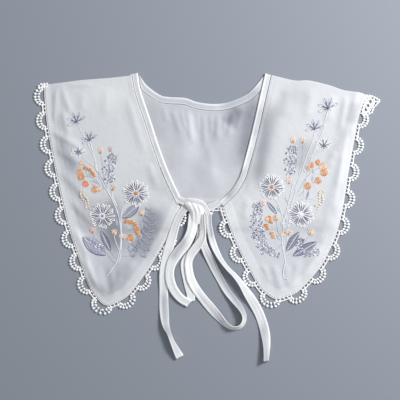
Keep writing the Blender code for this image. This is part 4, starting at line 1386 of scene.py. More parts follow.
@dataclass
class TieRibbon:
    """A tie: a flat tube of cloth with full edges, which may be folded sharply between legs."""

    name: str
    nodes: list[str]
    legs: list[Rows]
    finish: Finish = TIE
    slot: str = "tie_cloth"
    seed: float = 0.0
    gathers: bool = True
    half_points: int = 17
    step: float = 1.5

    GIRTH = 22.0  # way round the ribbon, in the cloth's own millimetres
    FOLD_OUT = 0.9  # how far a sharp fold reaches beyond the legs
    DULL_SIDE = 0.72  # fullness of the edge that isn't folded, where the folded one has 1

    def shares(self) -> np.ndarray:
        """Where the points of the ribbon's upper face lie across it, from -1 to 1."""
        return np.sin(np.linspace(-math.pi / 2, math.pi / 2, self.half_points))

    def section(self, width: float, s: float) -> np.ndarray:
        """Across and up of the ribbon's skin at one place, once round.

        Args:
            width: how wide the ribbon is there.
            s: how far along it that is, which moves its wrinkles.
        Returns:
            across and up of each point, from the left edge over the top and back below.
        """
        shares = self.shares()
        full = 0.55 + 0.45 * smoothstep(0.5, 0.8, np.abs(shares))
        crown = np.sqrt(np.clip(1 - np.abs(shares) ** 9, 0, 1)) * full * TIE_THICK / 2
        phase = self.seed + s / 23.0
        gathered = 0.9 * math.exp(-s / 14.0) if self.gathers else 0.0
        wave = (0.16 + gathered * 0.2) * np.sin(shares * 5.0 + phase)
        wave += 0.08 * np.sin(shares * 9.0 - 1.7 * phase)
        wave += gathered * 0.4 * np.sin(shares * 8.0 + 0.6)
        wave *= 1 - np.abs(shares) ** 4
        upper = np.column_stack([shares * width / 2, crown + wave])
        lower = np.column_stack([shares * width / 2, -crown + wave * 0.6])[::-1]
        return np.vstack([upper, lower[1:-1]])

    def leg_rings(self, rows: Rows, flip: int, start: float) -> tuple[list, list]:
        """Rings and cloth coordinates of one leg.

        Args:
            rows: x, y, lowest point, width and tilt along it.
            flip: 1, or -1 where the ribbon has been folded over.
            start: length of the ribbon before this leg.
        Returns:
            the rings, and each ring's distance along the ribbon.
        """
        line = smooth_curve(rows, self.step)
        normals = left_normals(line)
        stations = run_length(line) + start
        rings = []
        for (x, y, lift, width, tilt), normal, s in zip(line, normals, stations):
            turn = math.radians(tilt)
            across, up = (self.section(width * (1 + 0.03 * math.sin(s / 7 + self.seed)), s) * flip).T
            sideways = across * math.cos(turn) - up * math.sin(turn)
            height = across * math.sin(turn) + up * math.cos(turn)
            height = max(lift, 0.06) - height.min() + height
            rings.append(np.column_stack([x + normal[0] * sideways, y + normal[1] * sideways, height]))
        return rings, list(stations)

    def crease(self, ahead: np.ndarray, before: np.ndarray, after: np.ndarray) -> list[np.ndarray]:
        """Rings that carry the ribbon round a sharp fold.

        Args:
            ahead: how far the fold reaches beyond the legs, as x, y, z.
            before, after: the last ring of one leg and the first of the next.
        Returns:
            the rings between them.
        """
        shares = (0.25, 0.5, 0.75)
        return [before * (1 - t) + after * t + ahead * math.sin(math.pi * t) for t in shares]

    def build(self) -> bpy.types.Object:
        """Makes the ribbon.

        Returns:
            the ribbon as one piece.
        """
        work = marked_mesh()
        rings, stations, flip = [], [], 1
        for rows in self.legs:
            made, along = self.leg_rings(rows, flip, stations[-1] if stations else 0.0)
            if rings:
                ahead = (rings[-1].mean(axis=0) - rings[-4].mean(axis=0)) * (1, 1, 0)
                reach = self.FOLD_OUT * ahead / np.linalg.norm(ahead)
                between = self.crease(reach, rings[-1], made[0])
                rings += between
                stations += [stations[-1]] * len(between)
            rings += made
            stations += along
            flip = -flip
        points = len(rings[0])
        self.length = stations[-1]
        round_it = np.linspace(0, self.GIRTH, points + 1)
        cloth = np.array([np.column_stack([round_it, np.full(points + 1, s)]) for s in stations]) * MM
        shares = np.abs(self.shares()) * np.where(self.shares() > 0, 1.0, self.DULL_SIDE)
        add_tube(work, np.array(rings), cloth, np.concatenate([shares, shares[-2:0:-1]]))
        return finished(self.name, work, self.finish, self.slot, self.nodes)


@dataclass
class BowKnot:
    """The body of the knot: cloth drawn tight, in soft pleats that run down into the ties."""

    sides: int = 72

    GIRTH = 40.0  # way round the knot, in the cloth's own millimetres

    # Across its width: y, middle x, half width, crown and underside
    ROWS = (
        (19.0, -15.4, 6.0, 6.4, 3.6), (18.0, -15.6, 9.6, 7.8, 2.6), (15.8, -15.0, 11.6, 9.2, 2.0),
        (12.6, -13.6, 11.6, 9.9, 1.8), (9.0, -12.2, 10.4, 9.6, 1.8), (5.4, -11.4, 9.0, 8.8, 2.0),
        (1.8, -11.2, 8.0, 7.9, 2.6), (-1.8, -11.4, 7.2, 7.0, 3.4), (-5.4, -11.8, 6.2, 6.2, 4.0),
        (-8.4, -12.2, 4.4, 5.4, 4.6),
    )

    def build(self) -> bpy.types.Object:
        """Makes the knot's body.

        Returns:
            the knot as one piece.
        """
        rows = smooth_curve([(y, 0.0, *rest) for y, *rest in self.ROWS], 0.6)
        turns = np.linspace(0, TAU, self.sides, endpoint=False)
        rings = []
        for y, _, middle, half, crown, low in rows:
            across, up = np.cos(turns), np.sin(turns)
            folds = 0.7 * np.sin(across * half * 1.25 + 0.9 + y / 9)
            folds += 0.3 * np.sin(across * half * 2.3 - y / 7)
            pleats = 1 + 0.13 * folds * np.clip(up, 0, 1)
            height = (crown + low) / 2 + up * (crown - low) / 2 * pleats
            rings.append(np.column_stack([middle + across * half, np.full(self.sides, y), height]))
        work = marked_mesh()
        around = np.linspace(0, self.GIRTH, self.sides + 1)
        cloth = np.array([np.column_stack([around, np.full(self.sides + 1, row[0])]) for row in rows]) * MM
        add_tube(work, np.array(rings), cloth, 0.5 + 0.3 * np.sin(np.cos(turns) * 11.0 + 0.9))
        return finished("bow_knot", work, TIE, "tie_cloth", ["knot"])


class Motif(Enum):
    """The kinds of motif on the fronts."""

    STEM = "stem"
    DAISY = "daisy"
    STAR = "star"
    SPIKE = "spike"
    FERN = "fern"
    LEAF = "leaf"
    BERRY = "berry"
    BAND = "band"
    BUD = "bud"
    SPRIG = "sprig"
    LEAFLET = "leaflet"


# Each motif: size in cells, threads, then its places on the chart as x, y pairs
LEFT_CHART = {
    Motif.STEM: [
        (1.0, "white", 107, 276, 112, 269, 117, 261, 120, 248, 121, 235, 119.5, 220,
         116, 208, 110, 195, 105, 187, 99, 175),
        (0.9, "white", 119, 262, 121, 250, 121.5, 232, 121, 216, 124, 206, 130, 199),
        (0.9, "white", 117, 206, 113, 198, 112, 193, 114, 190), (0.7, "pale", 117, 264, 112, 260, 107, 253),
        (0.7, "pale", 116, 258, 112, 253, 110, 250), (0.6, "white", 119, 250, 115, 240, 114, 235),
        (0.8, "lavender", 107, 190, 104, 182, 98, 172), (0.8, "white", 98, 172, 95, 160, 92, 148, 90, 141),
        (0.6, "white", 94, 158, 87, 142, 81, 131, 78, 124), (0.6, "white", 96, 168, 88, 162, 82, 157),
        (0.6, "pale", 104, 182, 103, 166, 101, 155), (0.6, "pale", 107, 188, 109, 170, 110, 153),
        (0.6, "mist", 100, 184, 94, 178, 86, 176, 82, 176), (0.6, "mist", 104, 190, 98, 183, 90, 181),
        (0.6, "white", 108, 200, 100, 203, 90, 206), (0.7, "mist", 121, 240, 127, 233, 131, 227, 134, 225),
        (0.7, "mist", 121, 246, 129, 244, 136, 240, 140, 234), (0.6, "pale", 120, 256, 128, 256, 137, 254),
        (0.6, "white", 118, 262, 124, 252, 133, 247), (0.5, "pale", 93, 234, 98, 245, 106, 252),
    ],
    Motif.STAR: [
        (9.4, "dusk pale", 77, 122, 76.5, 113), (8.2, "dusk pale", 90, 140, 89, 132),
        (8.4, "lavender white", 79, 154, 81, 146), (6.4, "dusk white", 79, 151, 76, 158),
    ],
    Motif.BUD: [
        (4.4, "peach clay", 101, 154, 100.5, 148), (3.8, "salmon_pale clay", 110.5, 152, 111, 146),
        (5.4, "straw clay", 112.5, 191, 115, 184), (4.4, "peach clay", 142, 216, 142, 210),
        (4.6, "peach clay", 93, 233, 93, 228), (4.6, "peach clay", 114, 235, 114, 229),
        (4.2, "peach straw", 123, 239, 125, 234),
    ],
    Motif.SPIKE: [
        (8.6, "dusk white", 112, 183, 108.5, 170, 114, 155),
        (4.0, "lavender white", 104, 250, 96, 245, 90, 241),
    ],
    Motif.FERN: [
        (7.8, "lavender haze", 140, 254, 145, 244, 149, 228, 151, 207),
        (5.6, "haze lavender", 130, 254, 135, 247, 142, 242),
    ],
    Motif.LEAFLET: [
        (3.0, "mist", 88, 176, 84, 163), (2.2, "mist", 92, 178, 89, 173),
        (2.0, "salmon_pale", 95, 179, 92, 175), (2.4, "mist", 99, 184, 93, 180),
        (2.0, "salmon_pale", 97, 186, 92, 184), (2.4, "mist", 105, 189, 103, 183),
        (2.0, "straw", 97, 172, 95, 163), (2.4, "pale", 106, 187, 101, 180),
        (2.0, "mist", 110, 183, 113, 176), (2.4, "mist", 130, 233, 134, 228),
        (2.2, "pale", 133, 240, 136, 236), (2.4, "mist", 141, 229, 143, 222),
        (2.6, "lavender", 120, 222, 118, 213), (2.4, "mist", 116, 218, 117, 226),
        (2.2, "pale", 139, 240, 142, 236), (2.0, "straw", 127, 229, 131, 227),
        (2.0, "peach", 128, 241, 131, 243),
    ],
    Motif.BAND: [
        (4.6, "orange", 84, 167.5, 88, 168.5, 92, 172, 95, 176.5),
        (5.4, "orange", 125, 221, 129, 221.5, 134, 223, 137, 228, 137.5, 233),
        (4.4, "apricot", 135, 227, 137, 232, 140, 236),
    ],
    Motif.BERRY: [
        (3.6, "orange apricot", 80.5, 172), (3.8, "apricot orange", 81.5, 177),
        (3.6, "salmon salmon", 85.8, 184), (3.6, "orange apricot", 95, 189.5),
        (3.0, "apricot peach", 99, 189), (4.0, "orange apricot", 131, 237.5),
        (2.4, "peach apricot", 82, 163), (2.2, "apricot peach", 92, 230),
        (2.2, "apricot peach", 114.5, 233), (2.0, "straw peach", 142, 213),
        (2.0, "apricot peach", 121, 236),
    ],
    Motif.SPRIG: [(6.0, "straw peach", 89, 208, 85, 200, 82, 191)],
    Motif.DAISY: [(13.4, "white dusk orange", 136, 193.5), (12.8, "white dusk dusk", 102.5, 216)],
    Motif.LEAF: [
        (9.0, "haze haze lavender", 123, 218, 139, 205), (13.4, "haze pale lavender", 83, 237, 106, 255),
        (6.4, "haze lavender dusk", 110.5, 251, 101, 231),
    ],
}

RIGHT_CHART = {
    Motif.STEM: [
        (0.9, "white", 288, 279, 284, 278, 283, 271, 285, 262, 283, 250, 282, 240, 284, 222,
         288, 205, 291, 192, 293, 180),
        (0.8, "white", 283, 258, 288, 254, 293, 252),
        (0.8, "white", 286, 252, 287, 240, 289, 222, 291, 205, 296, 190),
        (0.6, "pale", 282, 244, 276, 249, 268, 251), (0.6, "pale", 281, 236, 284, 232, 288, 231),
        (0.7, "white", 284, 228, 281, 212, 276, 200), (0.6, "white", 286, 210, 293, 213, 297, 214),
        (0.8, "white", 294, 190, 300, 176, 306, 158, 312, 142, 315, 130),
        (0.7, "white", 318, 136, 324, 122, 328, 110), (0.7, "white", 308, 158, 316, 153, 323, 150),
        (0.6, "pale", 294, 176, 297, 158, 294, 145), (0.6, "pale", 298, 176, 302, 158, 303, 145),
        (0.7, "mist", 298, 192, 306, 178, 314, 170, 322, 168), (0.7, "mist", 299, 196, 308, 186, 316, 181),
        (0.6, "white", 298, 202, 306, 198, 315, 200), (0.7, "mist", 279, 236, 277, 226, 276, 221),
        (0.6, "pale", 311, 233, 306, 240, 300, 246), (0.6, "pale", 289, 184, 290, 178, 290, 172),
        (0.7, "white", 303, 196, 308, 170, 314, 150, 322, 132, 327, 114),
        (0.6, "white", 290, 220, 285, 236, 283, 250),
    ],
    Motif.STAR: [
        (10.0, "dusk pale", 328, 108.5, 328, 99), (9.0, "dusk pale", 314.5, 129, 316, 120),
        (8.6, "dusk white", 324, 146, 325, 138), (5.8, "dusk white", 324, 145, 321, 151),
    ],
    Motif.BUD: [
        (4.6, "peach clay", 293, 143.5, 293, 137), (4.4, "peach clay", 302.5, 143.5, 303, 137),
        (4.8, "peach salmon_pale", 263, 206, 262, 200), (4.6, "peach clay", 288, 235, 290, 230),
        (5.0, "straw clay", 310, 235, 311, 228), (5.2, "peach salmon_pale", 290, 184, 288, 178),
    ],
    Motif.SPIKE: [
        (8.6, "dusk white", 291, 175, 290, 162, 293, 147),
        (4.4, "dusk white", 300, 250, 300, 244, 302, 238),
        (5.0, "lavender white", 320, 252, 312, 252, 304, 254),
        (9.4, "dusk white", 266, 254, 260, 240, 256.5, 224, 258, 204),
        (6.0, "lavender white", 280, 256, 272, 252, 264, 246),
    ],
    Motif.LEAFLET: [
        (2.6, "mist", 308, 172, 305, 165), (2.4, "mist", 314, 174, 312, 168),
        (2.2, "straw", 306, 173, 303, 169), (2.4, "mist", 312, 182, 313, 175),
        (2.4, "lavender", 306, 200, 309, 190), (2.2, "mist", 287, 222, 283, 214),
        (2.2, "salmon_pale", 289, 214, 287, 206), (2.4, "mist", 285, 230, 280, 222),
        (2.2, "mist", 280, 240, 276, 234), (2.0, "straw", 281, 226, 284, 218),
        (2.2, "pale", 267, 240, 264, 234), (2.2, "mist", 289, 205, 285, 197),
        (2.0, "salmon_pale", 282, 234, 285, 230), (2.0, "mist", 280, 212, 277, 207),
        (2.0, "peach", 316, 182, 313, 187),
    ],
    Motif.BAND: [
        (5.0, "apricot", 307.5, 170, 309, 167, 311, 165.5), (5.4, "orange", 311, 166, 313, 163.5),
        (5.4, "orange", 316.5, 164, 319, 160.5), (4.6, "orange", 269, 216, 270.5, 221, 271, 223),
        (5.0, "orange", 265.5, 224, 268, 229), (5.2, "apricot", 271, 232, 273, 235, 273.5, 238),
    ],
    Motif.BERRY: [
        (4.2, "apricot peach", 323, 166.5), (4.2, "orange apricot", 324, 172.5),
        (3.8, "orange apricot", 318, 180.5), (4.0, "orange apricot", 307.5, 186),
        (3.2, "orange straw", 276, 218), (2.6, "peach apricot", 267.5, 219),
        (2.4, "peach apricot", 287, 232), (2.2, "peach straw", 282, 235), (2.8, "straw peach", 311, 233),
    ],
    Motif.SPRIG: [(6.4, "peach straw", 317, 208, 320, 200, 322.5, 190)],
    Motif.DAISY: [(12.8, "white dusk orange", 271.5, 187), (13.2, "white dusk white", 300.5, 214.5)],
    Motif.LEAF: [
        (3.4, "lavender dusk pale", 276.5, 214, 267, 202), (8.0, "haze haze dusk", 299, 232, 286.5, 251),
        (8.8, "haze lavender dusk", 317, 242, 293, 256),
    ],
}


@dataclass
class Embroidery:
    """The sewn flowers of one front."""

    prefix: str
    panel: FrontPanel
    chart: dict[Motif, list[tuple]]

    LINE_STEP = 0.8  # between the points of a stem or stalk
    PETAL_STEP = 0.9  # between the points of a petal's edge
    BACK_STITCH = 2.2
    PETALS = 20
    HEART_KNOTS = 12
    SHADED_WAY = 3.0  # way to a daisy's shaded side, as an angle, where its dark thread paints shade over the petals
    MISSING_FROM = 0.86  # a spike's grain is left out where its chance is greater

    def build(self) -> list[bpy.types.Object]:
        """Sews every motif.

        Returns:
            one piece for each thread.
        """
        self.needle = Needle(self.panel.relief.at)
        for kind, rows in self.chart.items():
            sew = getattr(self, kind.value)
            for size, names, *cells in rows:
                places = np.array([seen(x, y) for x, y in zip(cells[::2], cells[1::2])])
                sew(places, size * CHART_CELL, [Thread[name.upper()] for name in names.split()])
        return self.needle.pieces(self.prefix, "lace_thread")

    def stalk(
        self, line: np.ndarray, first: float, pitch: float
    ) -> Iterator[tuple[int, float, np.ndarray, np.ndarray, np.ndarray]]:
        """Goes up a stalk step by step.

        Args:
            line: the stalk.
            first, pitch: where the first step is, and how far apart they are.
        Returns:
            each step's number, share of the length, place, way to the left and way ahead.
        """
        along, normals = run_length(line), left_normals(line)
        for number, s in enumerate(np.arange(first, along[-1], pitch)):
            normal = read_at(s, along, normals)
            yield number, s / along[-1], point_at(line, s), normal, -leftward(normal)

    def stem(self, places: np.ndarray, width: float, threads: list[Thread]) -> None:
        """A row of back stitches through the places; a white one lies on a wider pale row that paints the
        shade beside it.
        """
        line = smooth_curve(places, self.LINE_STEP)
        # The pale row paints the shade on both sides of a white stem
        if threads[0] is Thread.WHITE:
            self.needle.cord(Thread.PALE, line, width=width * 1.6, pitch=0.0, lift=0.04, full=0.26)
        self.needle.cord(threads[0], line, width=width * 0.78, lift=0.25)

    def daisy(self, places: np.ndarray, radius: float, threads: list[Thread]) -> None:
        """White looped petals with dark stitches between them, round a heart of knots."""
        petal, vein, heart = threads
        middle = places[0]
        half = [(0.16, 0.0), (0.5, 0.042), (0.82, 0.066), (0.95, 0.05), (1.0, 0.0)]
        ways = half + [(r, -w) for r, w in half[-2::-1]]
        for index in range(self.PETALS):
            angle = TAU * index / self.PETALS + 0.06 * math.sin(index * 2.3)
            reach = radius * (0.95 + 0.07 * math.sin(index * 1.9 + radius))
            out = heading(angle)
            line = np.array([middle + out * reach * r + leftward(out) * radius * w for r, w in ways])
            self.needle.cord(
                petal, smooth_curve(line, self.PETAL_STEP), width=1.25, pitch=0.0, lift=0.35, sides=5
            )
            between = heading(angle + math.pi / self.PETALS)
            far = reach * (0.84 + 0.09 * math.sin(index * 3.1))
            self.needle.stitch(
                vein, middle + between * radius * 0.20, middle + between * far, width=1.4, lift=0.65
            )
            # Painted shade: more dark stitches on the petals of the shaded side
            if math.cos(angle - self.SHADED_WAY) > 0.1:
                tip = middle + out * reach * 0.86
                self.needle.stitch(vein, tip * 0.6 + middle * 0.4, tip, width=0.8, lift=0.7)
        warm = heart is Thread.ORANGE
        self.needle.dot(Thread.CLAY if warm else heart, middle, radius=0.10 * radius, lift=0.9)
        for index in range(self.HEART_KNOTS):
            out = heading(TAU * index / self.HEART_KNOTS)
            knot = (Thread.APRICOT, Thread.PEACH, Thread.ORANGE, Thread.PEACH)[index % 4]
            spot = middle + out * radius * (0.12 + 0.06 * (index % 2))
            self.needle.dot(knot if warm else Thread.WHITE, spot, radius=0.85, lift=0.75)

    def star(self, places: np.ndarray, size: float, threads: list[Thread]) -> None:
        """A small open flower: dark stitches fanned from its foot, in pale looped petals."""
        dark, pale = threads
        foot, top = places
        lead = math.atan2(top[1] - foot[1], top[0] - foot[0])
        half = [(0.25, 0.0), (0.6, 0.13), (0.88, 0.13), (0.98, 0.0)]
        ways = half + [(r, -w) for r, w in half[-2::-1]]
        for turn, reach in ((-1.08, 0.78), (-0.32, 0.80), (0.38, 0.78), (1.22, 0.68), (1.9, 0.4)):
            out = heading(lead + turn)
            line = np.array([foot + size * (out * r + leftward(out) * w) for r, w in ways])
            self.needle.cord(
                pale, smooth_curve(line, self.PETAL_STEP), width=0.8, pitch=1.6, lift=0.2, sides=5
            )
            self.needle.stitch(dark, foot, foot + out * size * reach, width=1.3, lift=0.3)
            self.needle.dot(Thread.LAVENDER, foot + out * size * 1.05, radius=0.05 * size, lift=0.1)
        for turn in (2.3, 3.14, 3.98):
            out = heading(lead + turn)
            self.needle.stitch(
                pale, foot + out * size * 0.15, foot + out * size * 0.42, width=0.8, lift=0.2
            )
        self.needle.dot(dark, foot, radius=0.13 * size, lift=0.3)

    def spike(self, places: np.ndarray, size: float, threads: list[Thread]) -> None:
        """Small dark and pale grains on both sides of a stalk, thinner towards the top."""
        line = smooth_curve(places, self.LINE_STEP)
        self.needle.cord(Thread.PALE, line, width=0.6)
        grains = (threads[0], Thread.LAVENDER, threads[1], Thread.HAZE)
        for number, share, foot, normal, ahead in self.stalk(line, 0.6, 1.8):
            reach = size * (0.22 + 0.32 * math.sin(math.pi * (0.14 + 0.78 * share)))
            for step, near in enumerate((-0.98, -0.6, -0.22, 0.2, 0.58, 0.96)):
                chance = math.sin(number * 2.4 + step * 4.7 + size)
                if chance > self.MISSING_FROM:
                    continue
                start = foot + normal * reach * (near + 0.2 * chance) + ahead * reach * abs(near) * 0.5
                turn = near * 1.2 + 1.3 * math.sin(number * 5.3 + step * 2.9)
                end = start + (ahead * math.cos(turn) + normal * math.sin(turn)) * (2.1 + 0.9 * chance)
                self.needle.stitch(grains[int(chance * 11 + 40) % 4], start, end, width=1.6, lift=0.2)

    def fern(self, places: np.ndarray, size: float, threads: list[Thread]) -> None:
        """Pairs of soft curved leaflets up a stalk, each of two stitches side by side in each thread."""
        line = smooth_curve(places, self.LINE_STEP)
        self.needle.cord(threads[1], line, width=0.8)
        for number, share, foot, normal, ahead in self.stalk(line, 1.0, 7.4):
            reach = size * (1.0 - 0.35 * share) * (1 + 0.16 * math.sin(number * 2.7))
            for way in (-1, 1):
                root = foot + normal * way * 0.5 + ahead * way * 1.6
                for rank, thread in enumerate(threads):
                    lean = 0.22 + 0.30 * rank + 0.16 * math.sin(number * 1.7 + way)
                    bend = root + reach * (normal * way * 0.55 + ahead * (lean - 0.15) * 0.5)
                    tip = root + reach * (normal * way * 0.95 + ahead * lean)
                    self.needle.stitch(thread, root, bend, width=1.25, lift=0.1)
                    self.needle.stitch(thread, bend - (bend - root) * 0.15, tip, width=1.35, lift=0.1)

    def leaf(self, places: np.ndarray, width: float, threads: list[Thread]) -> None:
        """A satin leaf: slanted stitches from the midrib, its two halves in two threads."""
        foot, tip = places
        run = tip - foot
        length = float(np.linalg.norm(run))
        side = leftward(run / length)
        for number, s in enumerate(np.arange(0.05, 0.97, 1.05 / length)):
            reach = width / 2 * math.sin(math.pi * min(1.0, s * 1.02)) ** 0.8
            for way, thread in ((1, threads[0]), (-1, threads[1])):
                start = foot + run * s
                end = foot + run * min(1.0, s + 0.55 * reach / length) + side * way * reach
                self.needle.stitch(thread, start, end, width=0.95, lift=0.12)
                if number % 2 == 0:
                    self.needle.stitch(threads[2], start + side * way * 0.5, end, width=0.75, lift=0.3)
        midrib = np.array([foot + run * s for s in np.linspace(0, 1, 12)])
        self.needle.cord(Thread.WHITE, midrib, width=0.7, pitch=self.BACK_STITCH, lift=0.3)
        for way, wide, thread in ((1, 0.45, threads[1]), (-1, 1.1, Thread.DUSK)):
            edge = [
                foot + run * s + side * way * width / 2 * math.sin(math.pi * s) ** 0.8
                for s in np.linspace(0, 1, 14)
            ]
            line = smooth_curve(np.array(edge), self.PETAL_STEP)
            self.needle.cord(thread, line, width=wide, pitch=self.BACK_STITCH, lift=0.3)

    def leaflet(self, places: np.ndarray, width: float, threads: list[Thread]) -> None:
        """A few long stitches side by side, meeting at foot and tip."""
        foot, tip = places
        run = tip - foot
        side = leftward(run) / np.linalg.norm(run)
        for share in (-0.35, 0.0, 0.35):
            bulge = foot + run * 0.5 + side * width * share
            self.needle.stitch(threads[0], foot, bulge + run * 0.12, width=0.9, lift=0.15)
            self.needle.stitch(threads[0], bulge - run * 0.12, tip, width=0.9, lift=0.15)

    def berry(self, places: np.ndarray, radius: float, threads: list[Thread]) -> None:
        """A satin dot of side-by-side stitches, its halves in two threads."""
        middle, radius = places[0], 0.92 * radius
        for number, offset in enumerate(np.arange(-radius + 0.35, radius - 0.2, 0.75)):
            half = math.sqrt(max(radius**2 - offset**2, 0.1))
            across = np.array([0.94, 0.34]) * offset
            along = np.array([0.34, -0.94]) * half
            core = abs(offset + 0.2 * radius) < 0.5 * radius and number % 3 < 2
            thread = threads[0] if core else threads[1]
            self.needle.stitch(
                thread, middle + across - along, middle + across + along, width=1.0, lift=0.3
            )
        for turn in np.linspace(0, TAU, 14, endpoint=False):
            out = heading(turn) * radius
            self.needle.stitch(Thread.PEACH, middle + out * 0.8, middle + out * 1.28, width=1.0, lift=0.1)

    def band(self, places: np.ndarray, width: float, threads: list[Thread]) -> None:
        """A satin band of slanted stitches along a bend, lighter where the stitches part."""
        line = smooth_curve(places, 0.85)
        dyes = (threads[0], threads[0], Thread.ORANGE, Thread.APRICOT)
        for number, (place, normal) in enumerate(zip(line, left_normals(line))):
            half = normal * width / 2 * (0.8 + 0.2 * math.sin(number * 0.9)) - leftward(normal) * 0.7
            self.needle.stitch(dyes[number % 4], place - half, place + half, width=1.05, lift=0.3)
            self.needle.stitch(Thread.PEACH, place - half * 1.32, place + half * 1.32, width=1.0, lift=0.05)

    def bud(self, places: np.ndarray, size: float, threads: list[Thread]) -> None:
        """A small round blossom: pale petals, open at the top, round a darker eye."""
        petal, eye = threads
        foot, top = places
        middle = foot * 0.6 + top * 0.4
        lead = math.atan2(top[1] - foot[1], top[0] - foot[0])
        for turn in (-2.5, -1.7, -0.85, -0.3, 0.3, 0.85, 1.7, 2.5):
            out = heading(lead + turn)
            reach = size * (0.92 if abs(turn) < 1 else 0.62)
            self.needle.stitch(
                petal, middle + out * 0.15 * size, middle + out * reach, width=1.5, lift=0.15
            )
        self.needle.dot(Thread.APRICOT if eye is Thread.CLAY else eye, middle, radius=0.18 * size, lift=0.2)
        self.needle.dot(eye, foot * 0.8 + top * 0.2, radius=0.19 * size, lift=0.75)

    def sprig(self, places: np.ndarray, size: float, threads: list[Thread]) -> None:
        """Pale seeds in pairs up a stalk, with a short dark stitch beside each."""
        line = smooth_curve(places, self.LINE_STEP)
        self.needle.cord(threads[1], line, width=0.6)
        for number, _, foot, normal, ahead in self.stalk(line, 0.5, 2.7):
            for way in (-1, 1):
                chance = math.sin(number * 7.3 + way * 2.1)
                out = normal * way
                seed = foot + out * size * (0.26 + 0.16 * chance) + ahead * (way * 0.7 + chance)
                self.needle.dot(
                    threads[(number + (way > 0)) % 2], seed, radius=1.25 + 0.25 * chance, lift=0.2
                )
                if chance > 0.2:
                    self.needle.stitch(
                        Thread.CLAY, seed + ahead * 0.8, seed + ahead * 2.0 - out, width=0.8, lift=0.3
                    )


@dataclass
class Studio:
    """Pale board, soft key light from the upper right, and a camera straight above."""

    middle: tuple = (-8.25, 20.4)
    view_width: float = 0.48
    camera_height: float = 1.6
    sensor: float = 36.0
    key_power: float = 21.8
    key_place: tuple = (0.93, 0.60, 0.96)
    key_size: float = 0.38
    fill_place: tuple = (-0.9, 0.1, 1.4)
    fill_size: float = 1.4
    fill_share: float = 0.12
    air: tuple = (0.93, 0.96, 1.0, 1.0)
    sky: float = 0.33
    board_half: float = 3.0
    board_drop: float = 0.0004

    def build(self) -> None:
        """Makes the floor, the lights and the camera."""
        work = bmesh.new()
        level = Matrix.Translation((0, 0, -self.board_drop))
        bmesh.ops.create_grid(work, x_segments=2, y_segments=2, size=self.board_half, matrix=level)
        mesh = bpy.data.meshes.new("studio_board")
        work.to_mesh(mesh)
        work.free()
        board = bpy.data.objects.new("studio_board", mesh)
        bpy.context.scene.collection.objects.link(board)
        StudioSweep("studio_board").dress(board)
        self.lamp("key", self.key_place, self.key_size, self.key_power)
        self.lamp("fill", self.fill_place, self.fill_size, self.key_power * self.fill_share)
        world = bpy.data.worlds.new("studio_air")
        world.use_nodes = True
        background = world.node_tree.nodes["Background"].inputs
        background["Color"].default_value = self.air
        background["Strength"].default_value = self.sky
        bpy.context.scene.world = world
        bpy.context.scene.view_settings.view_transform = "Standard"
        camera = bpy.data.cameras.new("above")
        camera.sensor_width = self.sensor
        camera.lens = self.sensor * self.camera_height / self.view_width
        seat = bpy.data.objects.new("above", camera)
        seat.location = (self.middle[0] * MM, self.middle[1] * MM, self.camera_height)
        bpy.context.scene.collection.objects.link(seat)
        bpy.context.scene.camera = seat

    def lamp(self, name: str, place: tuple, size: float, power: float) -> None:
        """One square soft light that looks at the collar."""
        data = bpy.data.lights.new(name, "AREA")
        data.shape = "SQUARE"
        data.size = size
        data.energy = power
        light = bpy.data.objects.new(name, data)
        light.location = place
        light.rotation_euler = (-Vector(place)).to_track_quat("-Z", "Y").to_euler()
        bpy.context.scene.collection.objects.link(light)


def back_reach(place: np.ndarray, normal: np.ndarray) -> float:
    """Share of the back binding's width that is free of the front bindings at one place."""
    left, right = smooth_curve(LEFT_NECK, EDGE_STEP), smooth_curve(RIGHT_NECK, EDGE_STEP)
    for share in np.linspace(1.0, 0.05, 20):
        far = place + normal * BACK_BINDING_WIDTH * share
        low = np.interp(far[1], left[::-1, 1], left[::-1, 0]) + GAP
        high = np.interp(far[1], right[::-1, 1], right[::-1, 0]) - GAP
        if low < far[0] < high:
            return float(share)
    return 0.05


def flat_bed(points: np.ndarray) -> np.ndarray:
    """The surface itself, under each point."""
    return np.zeros(len(points))


def sew_seams(panel: FrontPanel, prefix: str) -> list[bpy.types.Object]:
    """Sews the row of stitches beside a front's binding and the overcast edge of its hem."""
    needle = Needle(panel.relief.at)
    inner = moved(panel.neck_edge, -panel.side * 3.2)[2:-3]  # ends short of the shoulder and the knot
    needle.row(Thread.WHITE, inner, width=0.5, pitch=2.2, gap=0.5)
    needle.overcast(Thread.WHITE, panel.hem, panel.side, pitch=2.2, reach=2.4)
    return needle.pieces(prefix, "lace_thread")


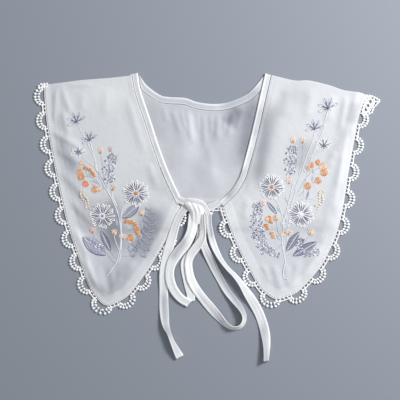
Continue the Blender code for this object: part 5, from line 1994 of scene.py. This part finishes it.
def declare_panel(
    cloth: bpy.types.Object, outline: np.ndarray, going: list
) -> None:
    """Works out the area within a panel's outline and a list of the pieces that go with it, and keeps
    neither.

    Args:
        cloth: not used.
        outline: the edge of what shows of its cut.
        going: the pieces that go with it.
    """
    area_of(outline)
    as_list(going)


def build_collar() -> None:
    """Builds every piece of the collar."""
    back = BackPanel()
    left = FrontPanel(
        "front_left_cloth", "front_left", 1, LEFT_SHOULDER, LEFT_HEM, LEFT_NECK, LEFT_CREASES,
        LEFT_TONES, back,
    )
    right = FrontPanel(
        "front_right_cloth", "front_right", -1, RIGHT_SHOULDER, RIGHT_HEM, RIGHT_NECK, RIGHT_CREASES,
        RIGHT_TONES, back,
    )
    back_cloth, left_cloth, right_cloth = back.build(), left.build(), right.build()

    back_binding = NeckBinding(
        "back_neck_binding", "binding_back", BACK_NECK, -1, BACK_BINDING_WIDTH, flat_bed, 0.0, back_reach,
        finish=SHADED_BACK_BINDING,
    ).build()
    left_binding, right_binding = [
        NeckBinding(
            f"{word}_neck_binding", f"binding_{word}", rows, side, BINDING_WIDTH, back.bed, OVER_BACK,
            wall=True,
        ).build()
        for word, rows, side in (("left", LEFT_NECK, -1), ("right", RIGHT_NECK, 1))
    ]

    first = BACK_NOTCH - 4 * BACK_PITCH
    last = first + BACK_SCALLOPS * BACK_PITCH
    back_edge = spread(np.array([[first, BACK_HEM], [last, BACK_HEM]]), 240)
    back_lace = LaceEdging("back_hem_lace", "lace_back", back_edge, BACK_SCALLOPS, -1, flat_bed).build()
    left_lace = LaceEdging(
        "left_hem_lace", "lace_left", smooth_curve(LEFT_HEM, 1.0), LEFT_SCALLOPS, -1, back.bed,
        corner=LEFT_END,
    ).build()
    right_lace = LaceEdging(
        "right_hem_lace", "lace_right", smooth_curve(RIGHT_HEM, 1.0), RIGHT_SCALLOPS, 1, back.bed,
        start=14.0, end=10.0, corner=RIGHT_END,
    ).build()

    left_flowers = Embroidery("left_embroidery", left, LEFT_CHART).build()
    right_flowers = Embroidery("right_embroidery", right, RIGHT_CHART).build()
    left_seams, right_seams = sew_seams(left, "left_seam"), sew_seams(right, "right_seam")

    ribbons = [
        TieRibbon(
            "loop_left", ["loop_left_out", "loop_left_back"], [LOOP_LEFT_OUT, LOOP_LEFT_BACK], seed=0.7
        ),
        TieRibbon("loop_right", ["loop_right_out", "loop_right_back"], [LOOP_RIGHT], seed=2.1),
        TieRibbon("tail_left_tie", ["tail_left"], [TAIL_LEFT], seed=1.3),
        TieRibbon("tail_right_tie", ["tail_right"], [TAIL_RIGHT], seed=3.4),
    ]
    made = [ribbon.build() for ribbon in ribbons]
    wrap = TieRibbon("knot_wrap", ["tie_start_left"], [TIE_START_LEFT], seed=0.2, gathers=False).build()
    start = TieRibbon("tie_start", ["tie_start_right"], [TIE_START_RIGHT], TIE_SHADED, seed=0.9).build()
    knot = BowKnot().build()

    declare_panel(back_cloth, back.outline, [back_binding, back_lace])
    for panel, cloth, going in (
        (left, left_cloth, [left_binding, left_lace, *left_flowers, *left_seams]),
        (right, right_cloth, [right_binding, right_lace, *right_flowers, *right_seams]),
    ):
        declare_panel(cloth, panel.outline, going)
    goes_with = {"loop_left": [knot], "tail_left_tie": [wrap], "tail_right_tie": [start]}
    for ribbon, piece in zip(ribbons, made):
        width = float(np.mean([row[3] for rows in ribbon.legs for row in rows]))
        "left_hem_lace" if "left" in ribbon.name else "right_hem_lace"
        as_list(goes_with.get(ribbon.name, []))


def main() -> None:
    """Builds the collar and the studio."""
    logging.basicConfig(level=logging.INFO, format="%(name)s: %(message)s")
    build_collar()
    Studio().build()


if __name__ == "__main__":
    main()
